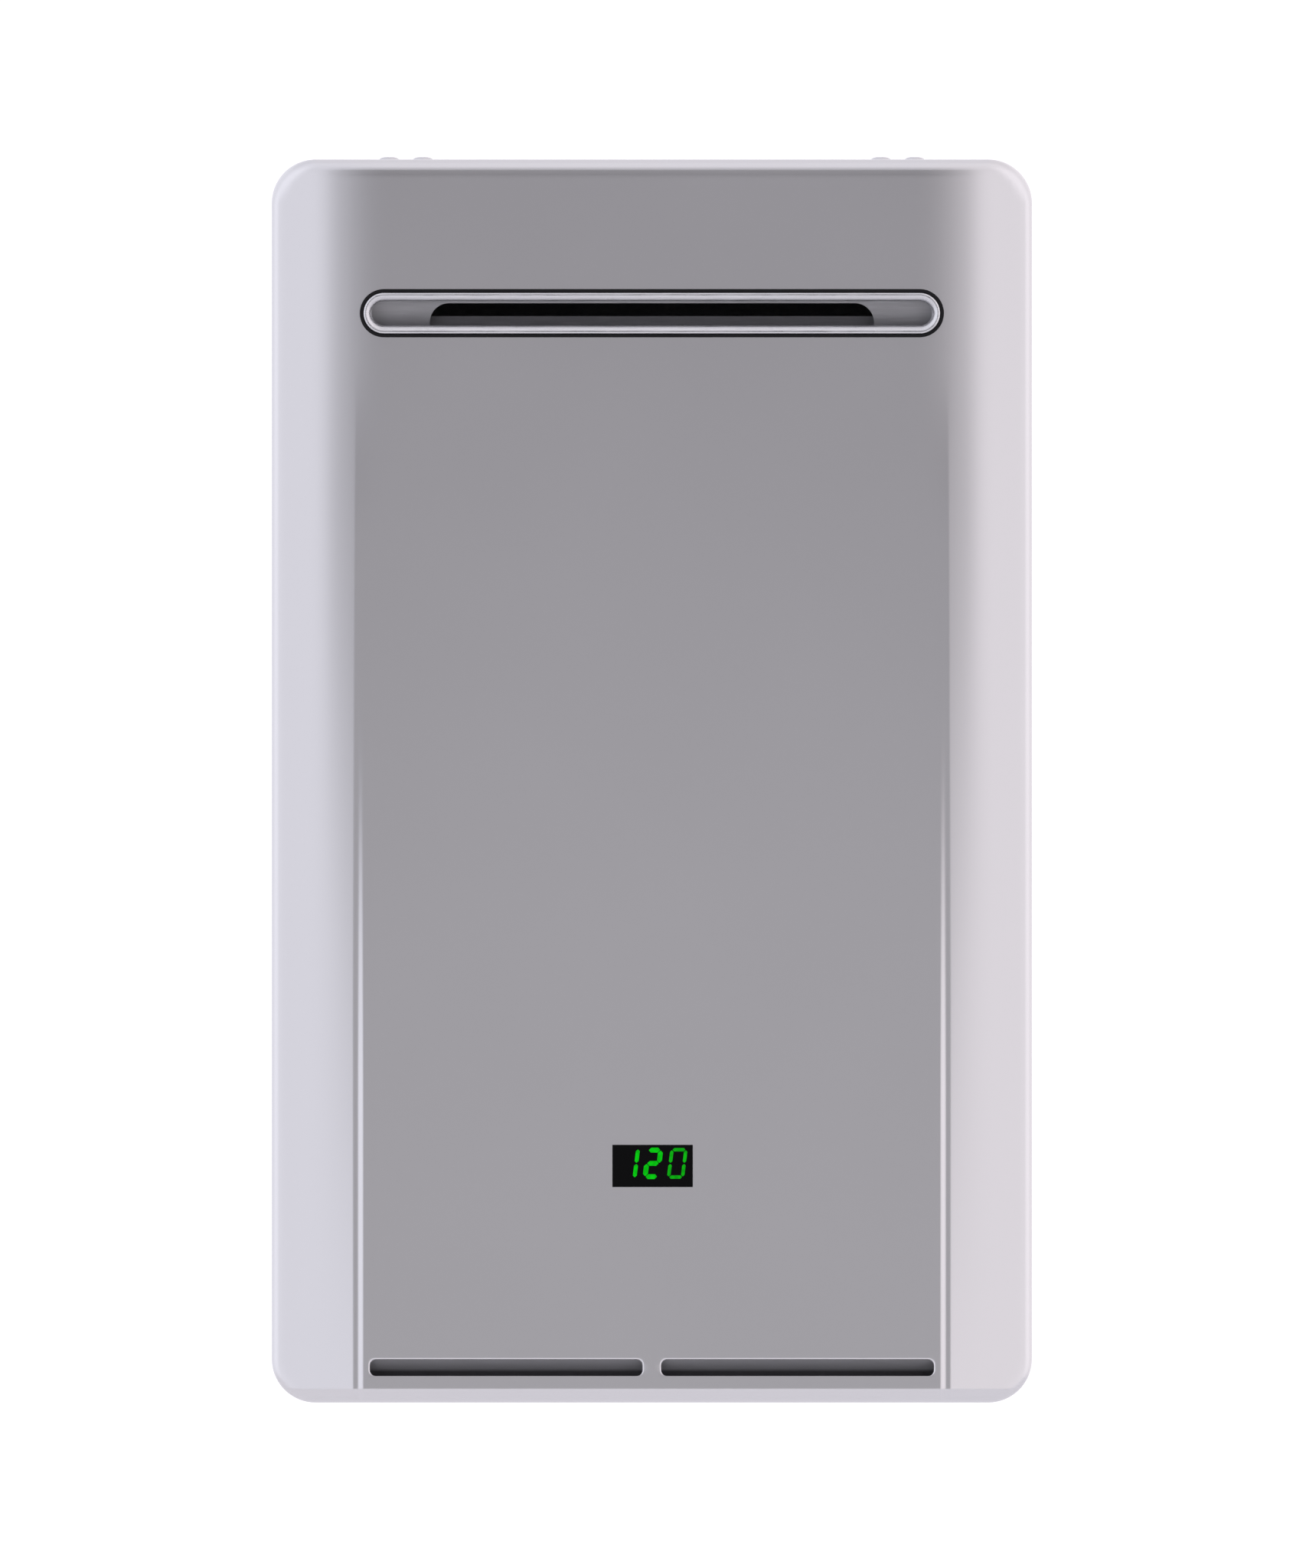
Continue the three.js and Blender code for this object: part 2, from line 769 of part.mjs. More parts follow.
function coverScrews() {
  for (const [name, x] of coverScrewSpots) {
    const shank = screwShank / 2;
    const profile = [
      [0, 0],
      [screwHead / 2 - seat, 0],
      [shank, screwHeadHigh],
      [shank, screwLength],
      [0, screwLength],
    ];
    const nutLow = innerLow + seat;
    const half = nutSize / 2;
    const nut = block(x - half, x + half, screwDepth - half, screwDepth + half, nutLow, nutLow + nutHigh);
    piece(name, join(turned("z", [x, screwDepth, 0], profile, smallRound), nut), steelBright);
  }
}

// A louvre behind the air slots: it hangs from the cover and falls back, so air passes under its low edge.
function airBaffle() {
  const front = panelDepth - coverSheet - seat;
  const back = front - baffleDeep;
  const top = airSlotZ + airSlotHeight / 2 + baffleThick;
  const low = top - baffleFall;
  const half = airSlotWeb / 2 + airSlotLength + airSlotCorner;
  const outline = [
    [front, top],
    [front, top + baffleRise],
    [front - baffleThick, top + baffleRise],
    [front - baffleThick, top + baffleThick],
    [back, low + baffleThick],
    [back, low],
  ];
  piece("air_baffle", across(outline, -half, half), casePaint);
}

// Case: a wrap bent round all four corners, a back plate and a base plate set up inside it
function caseWrap() {
  const shell = cut(
    forward(caseOutline(caseInset), standOff, caseFront),
    forward(caseOutline(caseInset + caseSheet), standOff - overrun, caseFront + overrun),
  );
  const bay = block(
    -bayOpeningX,
    bayOpeningX,
    bayOpeningBack,
    bayOpeningFront,
    caseLow - overrun,
    innerLow + overrun,
  );
  const notches = coverScrewSpots.map(([, x]) => {
    const half = screwHead / 2 - coverSheet + coverFit;
    return block(
      x - half,
      x + half,
      screwDepth - half,
      caseFront + overrun,
      caseLow - overrun,
      innerLow + overrun,
    );
  });
  const screwHoles = topScrewPlaces().map((x) =>
    rod(
      "z",
      [x, topScrewDepth, 0],
      topScrewShank / 2 + seat,
      innerTop - overrun,
      caseTop + overrun,
      smallRound,
    ),
  );
  piece("case_wrap", cut(shell, bay, ...notches, ...screwHoles), casePaint);
}

function topScrewPlaces() {
  const places = [];
  for (const side of [-1, 1]) {
    for (const half of [-1, 1]) places.push(side * topScrewX + (half * topScrewPitch) / 2);
  }
  return places;
}

function topScrews() {
  topScrewPlaces().forEach((x, i) => {
    const head = topScrewHead / 2;
    const foot = caseTop + seat;
    const profile = [
      [0, caseTop - topScrewLength],
      [topScrewShank / 2, caseTop - topScrewLength],
      [topScrewShank / 2, foot],
      [head, foot],
      [head, foot + topScrewHeadHigh * topScrewRimShare],
      [head * topScrewCrownShare, foot + topScrewHeadHigh * topScrewCrownShare],
      [0, foot + topScrewHeadHigh],
    ];
    piece(`top_screw_${i + 1}`, turned("z", [x, topScrewDepth, 0], profile, smallRound), casePaint);
  });
}

function backPlate() {
  const inset = caseInset + caseSheet + seat;
  const pan = cut(
    forward(caseOutline(inset), standOff, standOff + backFlange),
    forward(caseOutline(inset + caseSheet), backInner, standOff + backFlange + overrun),
  );
  piece("back_plate", pan, galvanised);
}

function wallBracket(name, z, keyed) {
  const back = standOff - seat;
  const half = bracketWeb / 2;
  const outline = [
    [0, z - half],
    [0, z + half],
    [back - bracketSheet, z + half],
    [back - bracketSheet, z + half + bracketFoot],
    [back, z + half + bracketFoot],
    [back, z + half - bracketSheet],
    [bracketSheet, z + half - bracketSheet],
    [bracketSheet, z - half + bracketSheet],
    [back, z - half + bracketSheet],
    [back, z - half - bracketFoot],
    [back - bracketSheet, z - half - bracketFoot],
    [back - bracketSheet, z - half],
  ];
  const holes = [-1, 1].map((side) => {
    const x = side * keyholeX;
    const slot = block(
      x - keyholeSlot / 2,
      x + keyholeSlot / 2,
      -overrun,
      standOff / 2,
      z - keyholeDrop / 2,
      z + keyholeDrop / 2,
    );
    if (!keyed) return slot;
    return join(slot, rod("depth", [x, 0, z - keyholeDrop / 2], keyholeHead / 2, -overrun, standOff / 2));
  });
  piece(name, cut(across(outline, -bracketLength / 2, bracketLength / 2), ...holes), galvanised);
}

function basePlate() {
  const half = innerHalf - caseSheet - 2 * seat;
  const back = backInner + seat;
  const front = caseFront - coverOverlap;
  const plate = join(
    block(-half, half, back, front, baseZ, baseTop),
    block(-half, half, back, back + baseSheet, baseZ, baseTop + baseFlange),
    block(-half, half, front - baseSheet, front, baseZ, baseTop + baseFlange),
    block(-half, -half + baseSheet, back, front, baseZ, baseTop + baseFlange),
    block(half - baseSheet, half, back, front, baseZ, baseTop + baseFlange),
  );
  const hole = (x, d, radius) => rod("z", [x, d, 0], radius + seat, baseZ - overrun, baseTop + overrun);
  const holes = [
    hole(coldX, coldDepth, unionRadius),
    hole(hotX, hotDepth, unionRadius),
    hole(gasX, gasDepth, unionRadius),
    hole(filterX, coldDepth, filterRadius),
    hole(hotX, drainDepth, drainRadius),
    hole(glandX, glandDepth, glandRadius),
  ];
  piece("base_plate", cut(plate, ...holes), galvanised);
}

// Exhaust: a terminal that stands through the cover's slot, and the hood that feeds it
const terminalLength = slotLength - 2 * gasketWidth - 4 * seat;
const terminalHigh = slotHeight - 2 * gasketWidth - 4 * seat;
const neckLow = flueZ - neckHigh / 2;
const neckTop = flueZ + neckHigh / 2;
const hoodLow = chamberTopZ + seat;

function flueTerminal() {
  const shape = (inset) => stadium(terminalLength - 2 * inset, terminalHigh - 2 * inset);
  const rimBack = depth - terminalRimDeep;
  const floorFront = depth - recessDepth;
  const floorBack = floorFront - terminalWall;
  const outer = forward(shape(0), terminalBack, depth);
  const plateHalf = terminalLength / 2 + terminalPlateOver;
  const plateHigh = terminalHigh / 2 + terminalPlateOver;
  const plateFront = terminalBack + terminalWall;
  const plate = block(-plateHalf, plateHalf, terminalBack, plateFront, flueZ - plateHigh, flueZ + plateHigh);
  const rimWay = forward(shape(terminalRim), rimBack - overrun, depth + overrun);
  const recess = forward(shape(terminalWall), floorFront, rimBack);
  const duct = forward(shape(terminalWall), plateFront, floorBack);
  const wayHalf = stackHalf - 2 * stackSheet;
  const wayHigh = terminalHigh / 2 - terminalWall;
  const way = block(
    -wayHalf,
    wayHalf,
    terminalBack - overrun,
    plateFront + overrun,
    flueZ - wayHigh,
    flueZ + wayHigh,
  );
  const top = flueZ + outletTop;
  const outlet = roundedBox(outletLength / 2, top - outletHeight, top, outletCorner);
  const outletWay = forward(outlet, floorBack - overrun, floorFront + overrun, slotSteps);
  const weirFront = floorBack - weirBehind;
  const weir = block(
    -outletLength / 2,
    outletLength / 2,
    weirFront - terminalWall,
    weirFront,
    flueZ - terminalHigh / 2 + terminalWall / 2,
    flueZ - weirDrop,
  );
  piece(
    "flue_terminal",
    join(cut(join(outer, plate), rimWay, recess, duct, way, outletWay), weir),
    stainless,
  );
}

function exhaustHood() {
  const front = terminalBack - seat;
  const t = stackSheet;
  const outer = [
    [stackBack, hoodLow],
    [stackBack, hoodShoulderZ],
    [hoodSlopeDepth, hoodTopZ],
    [hoodFallDepth, hoodTopZ],
    [hoodNeckDepth, neckTop],
    [front, neckTop],
    [front, neckLow],
    [stackFront, neckLow],
    [stackFront, hoodLow],
  ];
  const inner = [
    [stackBack + t, hoodLow - overrun],
    [stackBack + t, hoodShoulderZ - t / 2],
    [hoodSlopeDepth + t / 2, hoodTopZ - t],
    [hoodFallDepth - t / 2, hoodTopZ - t],
    [hoodNeckDepth - t / 2, neckTop - t],
    [front + overrun, neckTop - t],
    [front + overrun, neckLow + t],
    [stackFront - t, neckLow + t],
    [stackFront - t, hoodLow - overrun],
  ];
  const body = cut(across(outer, -stackHalf, stackHalf), across(inner, -stackHalf + t, stackHalf - t));
  piece("exhaust_hood", body, stainless);
}

function hoodHangers() {
  const top = innerTop - seat;
  const low = hoodTopZ + seat;
  const leg = topScrewDepth - hangerReach / 2;
  for (const side of [-1, 1]) {
    const outline = [
      [leg, low],
      [leg - hangerReach, low],
      [leg - hangerReach, low + hangerSheet],
      [leg - hangerSheet, low + hangerSheet],
      [leg - hangerSheet, top],
      [leg + hangerReach, top],
      [leg + hangerReach, top - hangerSheet],
      [leg, top - hangerSheet],
    ];
    const middle = side * topScrewX;
    const body = across(outline, middle - hangerWidth / 2, middle + hangerWidth / 2);
    const holes = [-1, 1].map((half) =>
      rod(
        "z",
        [middle + (half * topScrewPitch) / 2, topScrewDepth, 0],
        topScrewShank / 2 + seat,
        top - overrun,
        top + overrun,
        smallRound,
      ),
    );
    piece(side < 0 ? "hood_hanger_left" : "hood_hanger_right", cut(body, ...holes), galvanised);
  }
}

// Heat exchanger: water tubes that pass to and fro through a pack of fins, over the combustion chamber
const tubeSpacing = (stackFront - stackBack - 2 * stackSheet) / tubeCount;
const tubeDepth = (i) => stackBack + stackSheet + tubeSpacing * (i + 0.5);
const firstTube = tubeDepth(0);
const lastTube = tubeDepth(tubeCount - 1);

function finnedTubes() {
  const turnX = tubeEndX + tubeSpacing / 2;
  const corners = [[tubeEndX, firstTube, finMidZ]];
  for (let i = 0; i < tubeCount - 1; i += 1) {
    const side = i % 2 ? 1 : -1;
    corners.push([side * turnX, tubeDepth(i), finMidZ], [side * turnX, tubeDepth(i + 1), finMidZ]);
  }
  corners.push([tubeEndX, lastTube, finMidZ]);
  const bend = tubeSpacing / 2 - seat;
  const fins = [];
  for (let i = 0; i < finCount; i += 1) {
    const x = (i - (finCount - 1) / 2) * finPitch;
    const inset = stackSheet + seat * 2;
    const ends = [finMidZ - finHigh / 2, finMidZ + finHigh / 2];
    fins.push(block(x - finThick / 2, x + finThick / 2, stackBack + inset, stackFront - inset, ...ends));
  }
  const tubes = pipe(corners, tubeRadius, 0, bend, hexSides);
  const bore = pipe(corners, tubeBore, 0, bend, hexSides);
  piece("finned_tubes", cut(join(tubes, ...fins), bore), copper);
}

function combustionChamber() {
  const low = chamberFloorZ + seat;
  const t = stackSheet;
  const shell = cut(
    block(-stackHalf, stackHalf, stackBack, stackFront, low, chamberTopZ),
    block(-stackHalf + t, stackHalf - t, stackBack + t, stackFront - t, low - overrun, chamberTopZ + overrun),
  );
  const tubeHoles = [];
  for (let i = 0; i < tubeCount; i += 1) {
    const ends = [-stackHalf - overrun, stackHalf + overrun];
    tubeHoles.push(rod("x", [0, tubeDepth(i), finMidZ], tubeRadius + 2 * seat, ...ends));
  }
  const probes = [-1, 1].map((side) =>
    rod(
      "depth",
      [side * electrodeX, 0, electrodeZ],
      electrodeRadius + seat,
      stackFront - overrun,
      stackFront + overrun,
      smallRound,
    ),
  );
  piece("combustion_chamber", cut(shell, ...tubeHoles, ...probes), copper);
}

function chamberCoil() {
  const out = coilFit + tubeRadius;
  const x = stackHalf + out;
  const back = stackBack - out;
  const front = stackFront + out;
  const lap = 2 * (2 * x + front - back);
  const sides = [[-x, back], [-x, front], [x, front], [x, back], [-x, back], [-x, front], [x, front]];
  const corners = [[x, coilStartDepth - seat, coilStartZ], [x, back, coilStartZ]];
  let z = coilStartZ;
  let last = [x, back];
  for (const [nextX, nextDepth] of sides) {
    z += (coilPitch * (Math.abs(nextX - last[0]) + Math.abs(nextDepth - last[1]))) / lap;
    corners.push([nextX, nextDepth, z]);
    last = [nextX, nextDepth];
  }
  corners.push([x, coilTurnDepth, z], [coilRiserX, coilTurnDepth, z], [coilRiserX, firstTube, z]);
  corners.push([coilRiserX, firstTube, finMidZ], [tubeEndX + seat, firstTube, finMidZ]);
  piece("chamber_coil", pipe(corners, tubeRadius, 0, bendRadius, hexSides), copper);
}

// Burners and gas train
const bladeX = (i) => (i - (bladeCount - 1) / 2) * bladePitch;
const manifoldBack = stackFront + manifoldGap;
const ductRight = blowerX + scrollStart + scrollGrow;
const ductLeft = ductRight - ductWide;

function burnerBox() {
  const t = stackSheet;
  const box = cut(
    block(-stackHalf, stackHalf, stackBack, stackFront, burnerFloorZ, chamberFloorZ),
    block(
      -stackHalf + t,
      stackHalf - t,
      stackBack + t,
      stackFront - t,
      burnerFloorZ + t,
      chamberFloorZ + overrun,
    ),
  );
  const feet = [-1, 1].map((side) => {
    const x = side * (stackHalf - stackFootSide);
    const half = stackFootWidth / 2;
    return block(
      x - half,
      x + half,
      backInner + seat,
      stackBack + t / 2,
      burnerFloorZ,
      burnerFloorZ + stackFootHigh,
    );
  });
  const s = scrollSheet;
  const air = block(
    ductLeft + s,
    ductRight - s,
    blowerBack + s,
    blowerBack + blowerDeep - s,
    burnerFloorZ - overrun,
    burnerFloorZ + overrun,
  );
  const ports = [];
  for (let i = 0; i < bladeCount; i += 1) {
    ports.push(
      rod(
        "depth",
        [bladeX(i), 0, manifoldZ],
        nozzleHole,
        stackFront - overrun,
        stackFront + overrun,
        smallRound,
      ),
    );
  }
  piece("burner_box", cut(join(box, ...feet), air, ...ports), galvanised);
}

function burnerRow() {
  const back = stackBack + bladeInset;
  const front = stackFront - bladeInset;
  const half = bladeThick / 2;
  const parts = [];
  const slots = [];
  for (let i = 0; i < bladeCount; i += 1) {
    const x = bladeX(i);
    parts.push(block(x - half, x + half, back, front, bladeLowZ, bladeTopZ));
    const slotHalf = bladeSlot / 2;
    const inset = bladeThick / 2;
    slots.push(
      block(
        x - slotHalf,
        x + slotHalf,
        back + inset,
        front - inset,
        bladeTopZ - bladeSlotDeep,
        bladeTopZ + overrun,
      ),
    );
    slots.push(rod("depth", [x, 0, manifoldZ], bladeSlot, front - bladeInset, front + overrun, smallRound));
  }
  const railHalf = stackHalf - stackSheet - seat;
  for (const middle of [back + railWide, front - 2 * railWide]) {
    parts.push(
      block(
        -railHalf,
        railHalf,
        middle - railWide / 2,
        middle + railWide / 2,
        bladeLowZ - railHigh,
        bladeLowZ + railHigh,
      ),
    );
  }
  const [first, ...rest] = parts;
  piece("burner_row", cut(join(first, ...rest), ...slots), stainless);
}

function gasManifold() {
  const half = manifoldSize / 2;
  const bar = block(
    -manifoldHalf,
    manifoldHalf,
    manifoldBack,
    manifoldBack + manifoldSize,
    manifoldZ - half,
    manifoldZ + half,
  );
  const nozzles = [];
  const tip = stackFront + nozzleTip;
  for (let i = 0; i < bladeCount; i += 1) {
    const profile = [
      [0, tip],
      [nozzleTip, tip],
      [nozzleRadius, manifoldBack - nozzleRadius],
      [nozzleRadius, manifoldBack + seat],
      [0, manifoldBack + seat],
    ];
    nozzles.push(turned("depth", [bladeX(i), 0, manifoldZ], profile, smallRound));
  }
  const ears = [-1, 1].map((side) => {
    const x = side * (manifoldHalf - half);
    return block(
      x - half / 2,
      x + half / 2,
      stackFront + seat,
      manifoldBack + seat,
      manifoldZ + half / 2,
      manifoldZ + manifoldSize,
    );
  });
  const bore = rod(
    "x",
    [0, manifoldBack + half, manifoldZ],
    manifoldBore,
    -manifoldHalf - overrun,
    manifoldHalf - half,
    smallRound,
  );
  piece("gas_manifold", cut(join(bar, ...nozzles, ...ears), bore), aluminium);
}

const valveLow = baseTop + 2 * seat;
const valveTop = valveLow + valveHigh;
const valveFront = gasDepth + valveDeep / 2;
const solenoidZ = [solenoidLowZ, solenoidLowZ + solenoidPitch];

function gasTrain() {
  const half = valveWidth / 2;
  const body = block(gasX - half, gasX + half, valveFront - valveDeep, valveFront, valveLow, valveTop);
  const boss = rod("z", [gasX, gasDepth, 0], gasPipeRadius + overrun, valveTop - seat, valveTop + overrun);
  const way = rod("z", [gasX, gasDepth, 0], gasPipeBore, valveLow - overrun, valveTop + 2 * overrun);
  const chambers = solenoidZ.map((z) =>
    rod("depth", [gasX, 0, z], poppetChamber, valveFront - poppetChamberDeep, valveFront + overrun),
  );
  piece("gas_valve", cut(join(body, boss), way, ...chambers), aluminium);
  const names = ["main", "modulating"];
  solenoidZ.forEach((z, i) => {
    const from = valveFront + seat;
    const to = from + solenoidLength;
    const bore = plungerRadius + plungerBoreGap;
    const floor = to - poppetThick;
    const profile = [
      [bore, from],
      [solenoidRadius, from],
      [solenoidRadius, to],
      [0, to],
      [0, floor],
      [bore, floor],
      [bore, from],
    ];
    piece(`${names[i]}_solenoid`, turned("depth", [gasX, 0, z], profile), blackPlastic);
    const back = valveFront - poppetChamberDeep + seat;
    const nose = back + poppetThick;
    const tip = floor - poppetTravel - 2 * seat;
    const stem = [
      [0, back],
      [poppetRadius, back],
      [poppetRadius, nose],
      [plungerRadius, nose],
      [plungerRadius, tip],
      [0, tip],
    ];
    piece(`${names[i]}_plunger`, turned("depth", [gasX, 0, z], stem), steelBright);
  });
  const manifoldMid = manifoldBack + manifoldSize / 2;
  const run = [
    [gasX, gasDepth, valveTop + overrun + seat],
    [gasX, gasDepth, manifoldZ],
    [gasX, manifoldMid, manifoldZ],
    [-manifoldHalf - seat, manifoldMid, manifoldZ],
  ];
  piece("gas_pipe", pipe(run, gasPipeRadius, gasPipeBore, bendRadius), galvanised);
}

// Blower: a forward-curved wheel in a scroll that opens upwards into the burner box
function scrollOutline(inset, top) {
  const tongueX = ductLeft + inset - blowerX;
  const start = Math.acos(tongueX / (scrollStart - inset));
  const shape = new THREE.Shape();
  shape.moveTo(ductRight - inset, blowerZ);
  shape.lineTo(ductRight - inset, top);
  shape.lineTo(ductLeft + inset, top);
  const steps = largeRound;
  for (let i = 0; i < steps; i += 1) {
    const turn = start + ((2 * Math.PI - start) * i) / steps;
    const r = scrollStart - inset + (scrollGrow * i) / steps;
    shape.lineTo(blowerX + r * Math.cos(turn), blowerZ + r * Math.sin(turn));
  }
  return shape;
}

const housingFront = blowerBack + blowerDeep;
const wheelBack = blowerBack + scrollSheet + wheelGap;
const wheelFront = wheelBack + wheelWidth;

function blower() {
  const top = burnerFloorZ - seat;
  const s = scrollSheet;
  const shaftHole = rod(
    "depth",
    [blowerX, 0, blowerZ],
    shaftRadius + 2 * shaftGap,
    blowerBack - overrun,
    blowerBack + overrun,
    smallRound,
  );
  const housing = cut(
    forward(scrollOutline(0, top), blowerBack, housingFront),
    forward(scrollOutline(s, top + overrun), blowerBack + s, housingFront + overrun),
    shaftHole,
  );
  piece("blower_housing", housing, galvanised);

  const plateBack = housingFront + seat;
  const lip = inletRadius + s;
  const at = [blowerX, 0, blowerZ];
  const bell = ring("depth", at, lip, inletRadius, plateBack - inletLip, plateBack + s, largeRound);
  const plate = forward(scrollOutline(0, top), plateBack, plateBack + s);
  const eye = rod("depth", at, inletRadius + s / 2, plateBack - overrun, plateBack + overrun, largeRound);
  piece("blower_front", join(cut(plate, eye), bell), galvanised);

  const motorFront = blowerBack - seat;
  const grip = shaftRadius + shaftGap;
  const motor = [
    [grip, motorFront],
    [motorRadius, motorFront],
    [motorRadius, motorFront - motorLength],
    [0, motorFront - motorLength],
    [0, motorFront - motorLength / 2],
    [grip, motorFront - motorLength / 2],
    [grip, motorFront],
  ];
  piece("blower_motor", turned("depth", at, motor, largeRound), blackPlastic);
  const shaftBack = motorFront - motorLength / 2 + 2 * seat;
  piece(
    "blower_shaft",
    rod("depth", at, shaftRadius, shaftBack, wheelBack + wheelWidth / 2, smallRound),
    steelBright,
  );

  const vanes = [];
  for (let i = 0; i < vaneCount; i += 1) {
    const outward = [];
    const inward = [];
    for (let k = 0; k <= vaneSteps; k += 1) {
      const r = vaneInner + ((wheelRadius - seat - vaneInner) * k) / vaneSteps;
      const lean = ((wheelRadius - vaneInner) / vaneInner) * (k / vaneSteps) ** 2;
      const turn = (i * 2 * Math.PI) / vaneCount + lean;
      const half = vaneThick / 2 / r;
      outward.push(
        new THREE.Vector2(blowerX + r * Math.cos(turn - half), blowerZ + r * Math.sin(turn - half)),
      );
      inward.push(
        new THREE.Vector2(blowerX + r * Math.cos(turn + half), blowerZ + r * Math.sin(turn + half)),
      );
    }
    const shape = new THREE.Shape([...outward, ...inward.reverse()]);
    vanes.push(forward(shape, wheelBack + wheelSheet / 2, wheelFront - wheelSheet / 2));
  }
  const bore = shaftRadius + seat;
  const disc = ring("depth", at, wheelRadius, bore, wheelBack, wheelBack + wheelSheet, largeRound);
  const hub = ring("depth", at, hubRadius, bore, wheelBack, wheelBack + hubLength);
  const rim = ring("depth", at, wheelRadius, vaneInner, wheelFront - wheelSheet, wheelFront, largeRound);
  piece("blower_wheel", join(disc, hub, rim, ...vanes), galvanised);
}

// Water side
const blockLow = baseTop + 2 * seat;
const inletTop = inletBlockZ;
const sensorLow = inletTop + seat;
const sensorTop = sensorLow + sensorHigh;
const servoLow = sensorTop + seat;
const servoTop = servoLow + servoHigh;
const servoMid = (servoLow + servoTop) / 2;

// A union under the base plate, with a hexagon to hold it and a neck up through the plate.
function union(name, x, d, material) {
  const top = baseTop + seat;
  const body = rod("z", [x, d, 0], unionRadius, unionLow, top);
  const hex = rod("z", [x, d, 0], unionHex, baseZ - seat - unionHexHigh, baseZ - seat, hexSides);
  const bore = rod("z", [x, d, 0], unionBore, unionLow - overrun, top + overrun);
  piece(name, cut(join(body, hex), bore), material);
}

function inletBlock() {
  const left = filterX - inletBlockHalf / 2 - filterRadius / 2;
  const front = coldDepth + inletBlockHalf;
  const body = block(left, coldX + inletBlockHalf, coldDepth - inletBlockHalf, front, blockLow, inletTop);
  const way = rod("z", [coldX, coldDepth, 0], unionBore, blockLow - overrun, inletTop + overrun);
  const socketTop = blockLow + filterHigh;
  const socket = rod("z", [filterX, coldDepth, 0], filterRadius + seat, blockLow - overrun, socketTop);
  const link = rod(
    "x",
    [0, coldDepth, socketTop - filterMeshRadius],
    filterMeshRadius / 2,
    filterX,
    coldX,
    smallRound,
  );
  piece("inlet_block", cut(body, way, socket, link), brass);

  const knobTop = baseZ - seat;
  const meshTop = socketTop - filterMeshRadius / 2;
  const knob = [
    [0, knobTop - filterKnobHigh],
    [filterKnob, knobTop - filterKnobHigh],
    [filterKnob, knobTop],
    [filterRadius, knobTop],
    [filterRadius, blockLow + filterKnobHigh / 2],
    [filterMeshRadius, blockLow + filterKnobHigh / 2],
    [filterMeshRadius, meshTop],
    [0, meshTop],
  ];
  piece("filter_plug", turned("z", [filterX, coldDepth, 0], knob), blackPlastic);
}

function flowSensor() {
  const bore = sensorBore;
  const waist = sensorHigh * sensorStepShare;
  const body = [
    [bore, sensorLow],
    [sensorRadius, sensorLow],
    [sensorRadius, sensorLow + waist],
    [sensorWaist, sensorLow + 2 * waist],
    [sensorWaist, sensorTop - 2 * waist],
    [sensorRadius, sensorTop - waist],
    [sensorRadius, sensorTop],
    [bore, sensorTop],
    [bore, sensorLow],
  ];
  const at = [coldX, coldDepth, 0];
  const webLow = sensorLow + waist;
  const web = block(
    coldX - bore - seat,
    coldX + bore + seat,
    coldDepth - rotorHub / 2,
    coldDepth + rotorHub / 2,
    webLow,
    webLow + rotorHub,
  );
  const rotorLow = webLow + rotorHub + seat;
  const rotorTop = rotorLow + rotorHigh;
  const pin = rod("z", at, rotorPin, webLow + rotorHub / 2, rotorTop + rotorPin, smallRound);
  piece("flow_sensor", join(turned("z", at, body), web, pin), blackPlastic);

  const hub = ring("z", at, rotorHub, rotorPin + seat, rotorLow, rotorTop, smallRound);
  const vanes = [];
  for (let i = 0; i < rotorVanes; i += 1) {
    const vane = new THREE.BoxGeometry(
      rotorRadius - rotorHub + seat * 2,
      rotorVane,
      rotorHigh * rotorVaneShare,
    );
    vane.rotateX(Math.PI * rotorTwistShare).translate((rotorRadius + rotorHub) / 2 - seat, 0, 0);
    vane.rotateZ((i * 2 * Math.PI) / rotorVanes).translate(coldX, -coldDepth, (rotorLow + rotorTop) / 2);
    vanes.push(solid(vane));
  }
  piece("flow_rotor", join(hub, ...vanes), greyPlastic);
}

function servoValve() {
  const half = servoHalf;
  const front = coldDepth + half;
  const body = block(coldX - half, coldX + half, coldDepth - half, front, servoLow, servoTop);
  const way = rod("z", [coldX, coldDepth, 0], unionBore, servoLow - overrun, servoTop + overrun);
  const plugBack = coldDepth - plugLength / 2;
  const plugFront = plugBack + plugLength;
  const bed = rod(
    "depth",
    [coldX, 0, servoMid],
    plugRadius + plugGap,
    plugBack - plugGap,
    front + overrun,
    largeRound,
  );
  piece("servo_valve", cut(body, way, bed), brass);

  const motorFrom = front + seat;
  const motorTo = motorFrom + servoMotorHigh;
  const stem = rotorHub;
  const grip = stem + plugGap;
  const motorFloor = motorFrom + servoMotorHigh / 2;
  const motor = [
    [grip, motorFrom],
    [servoMotorRadius, motorFrom],
    [servoMotorRadius, motorTo],
    [0, motorTo],
    [0, motorFloor],
    [grip, motorFloor],
    [grip, motorFrom],
  ];
  piece("servo_motor", turned("depth", [coldX, 0, servoMid], motor), blackPlastic);
  const plug = [
    [0, plugBack],
    [plugRadius, plugBack],
    [plugRadius, plugFront],
    [stem, plugFront],
    [stem, motorFloor - 2 * seat],
    [0, motorFloor - 2 * seat],
  ];
  const passage = rod(
    "z",
    [coldX, coldDepth, 0],
    plugPassage,
    servoMid - 2 * plugRadius,
    servoMid + 2 * plugRadius,
    smallRound,
  );
  piece("servo_plug", cut(turned("depth", [coldX, 0, servoMid], plug, largeRound), passage), brass);
}

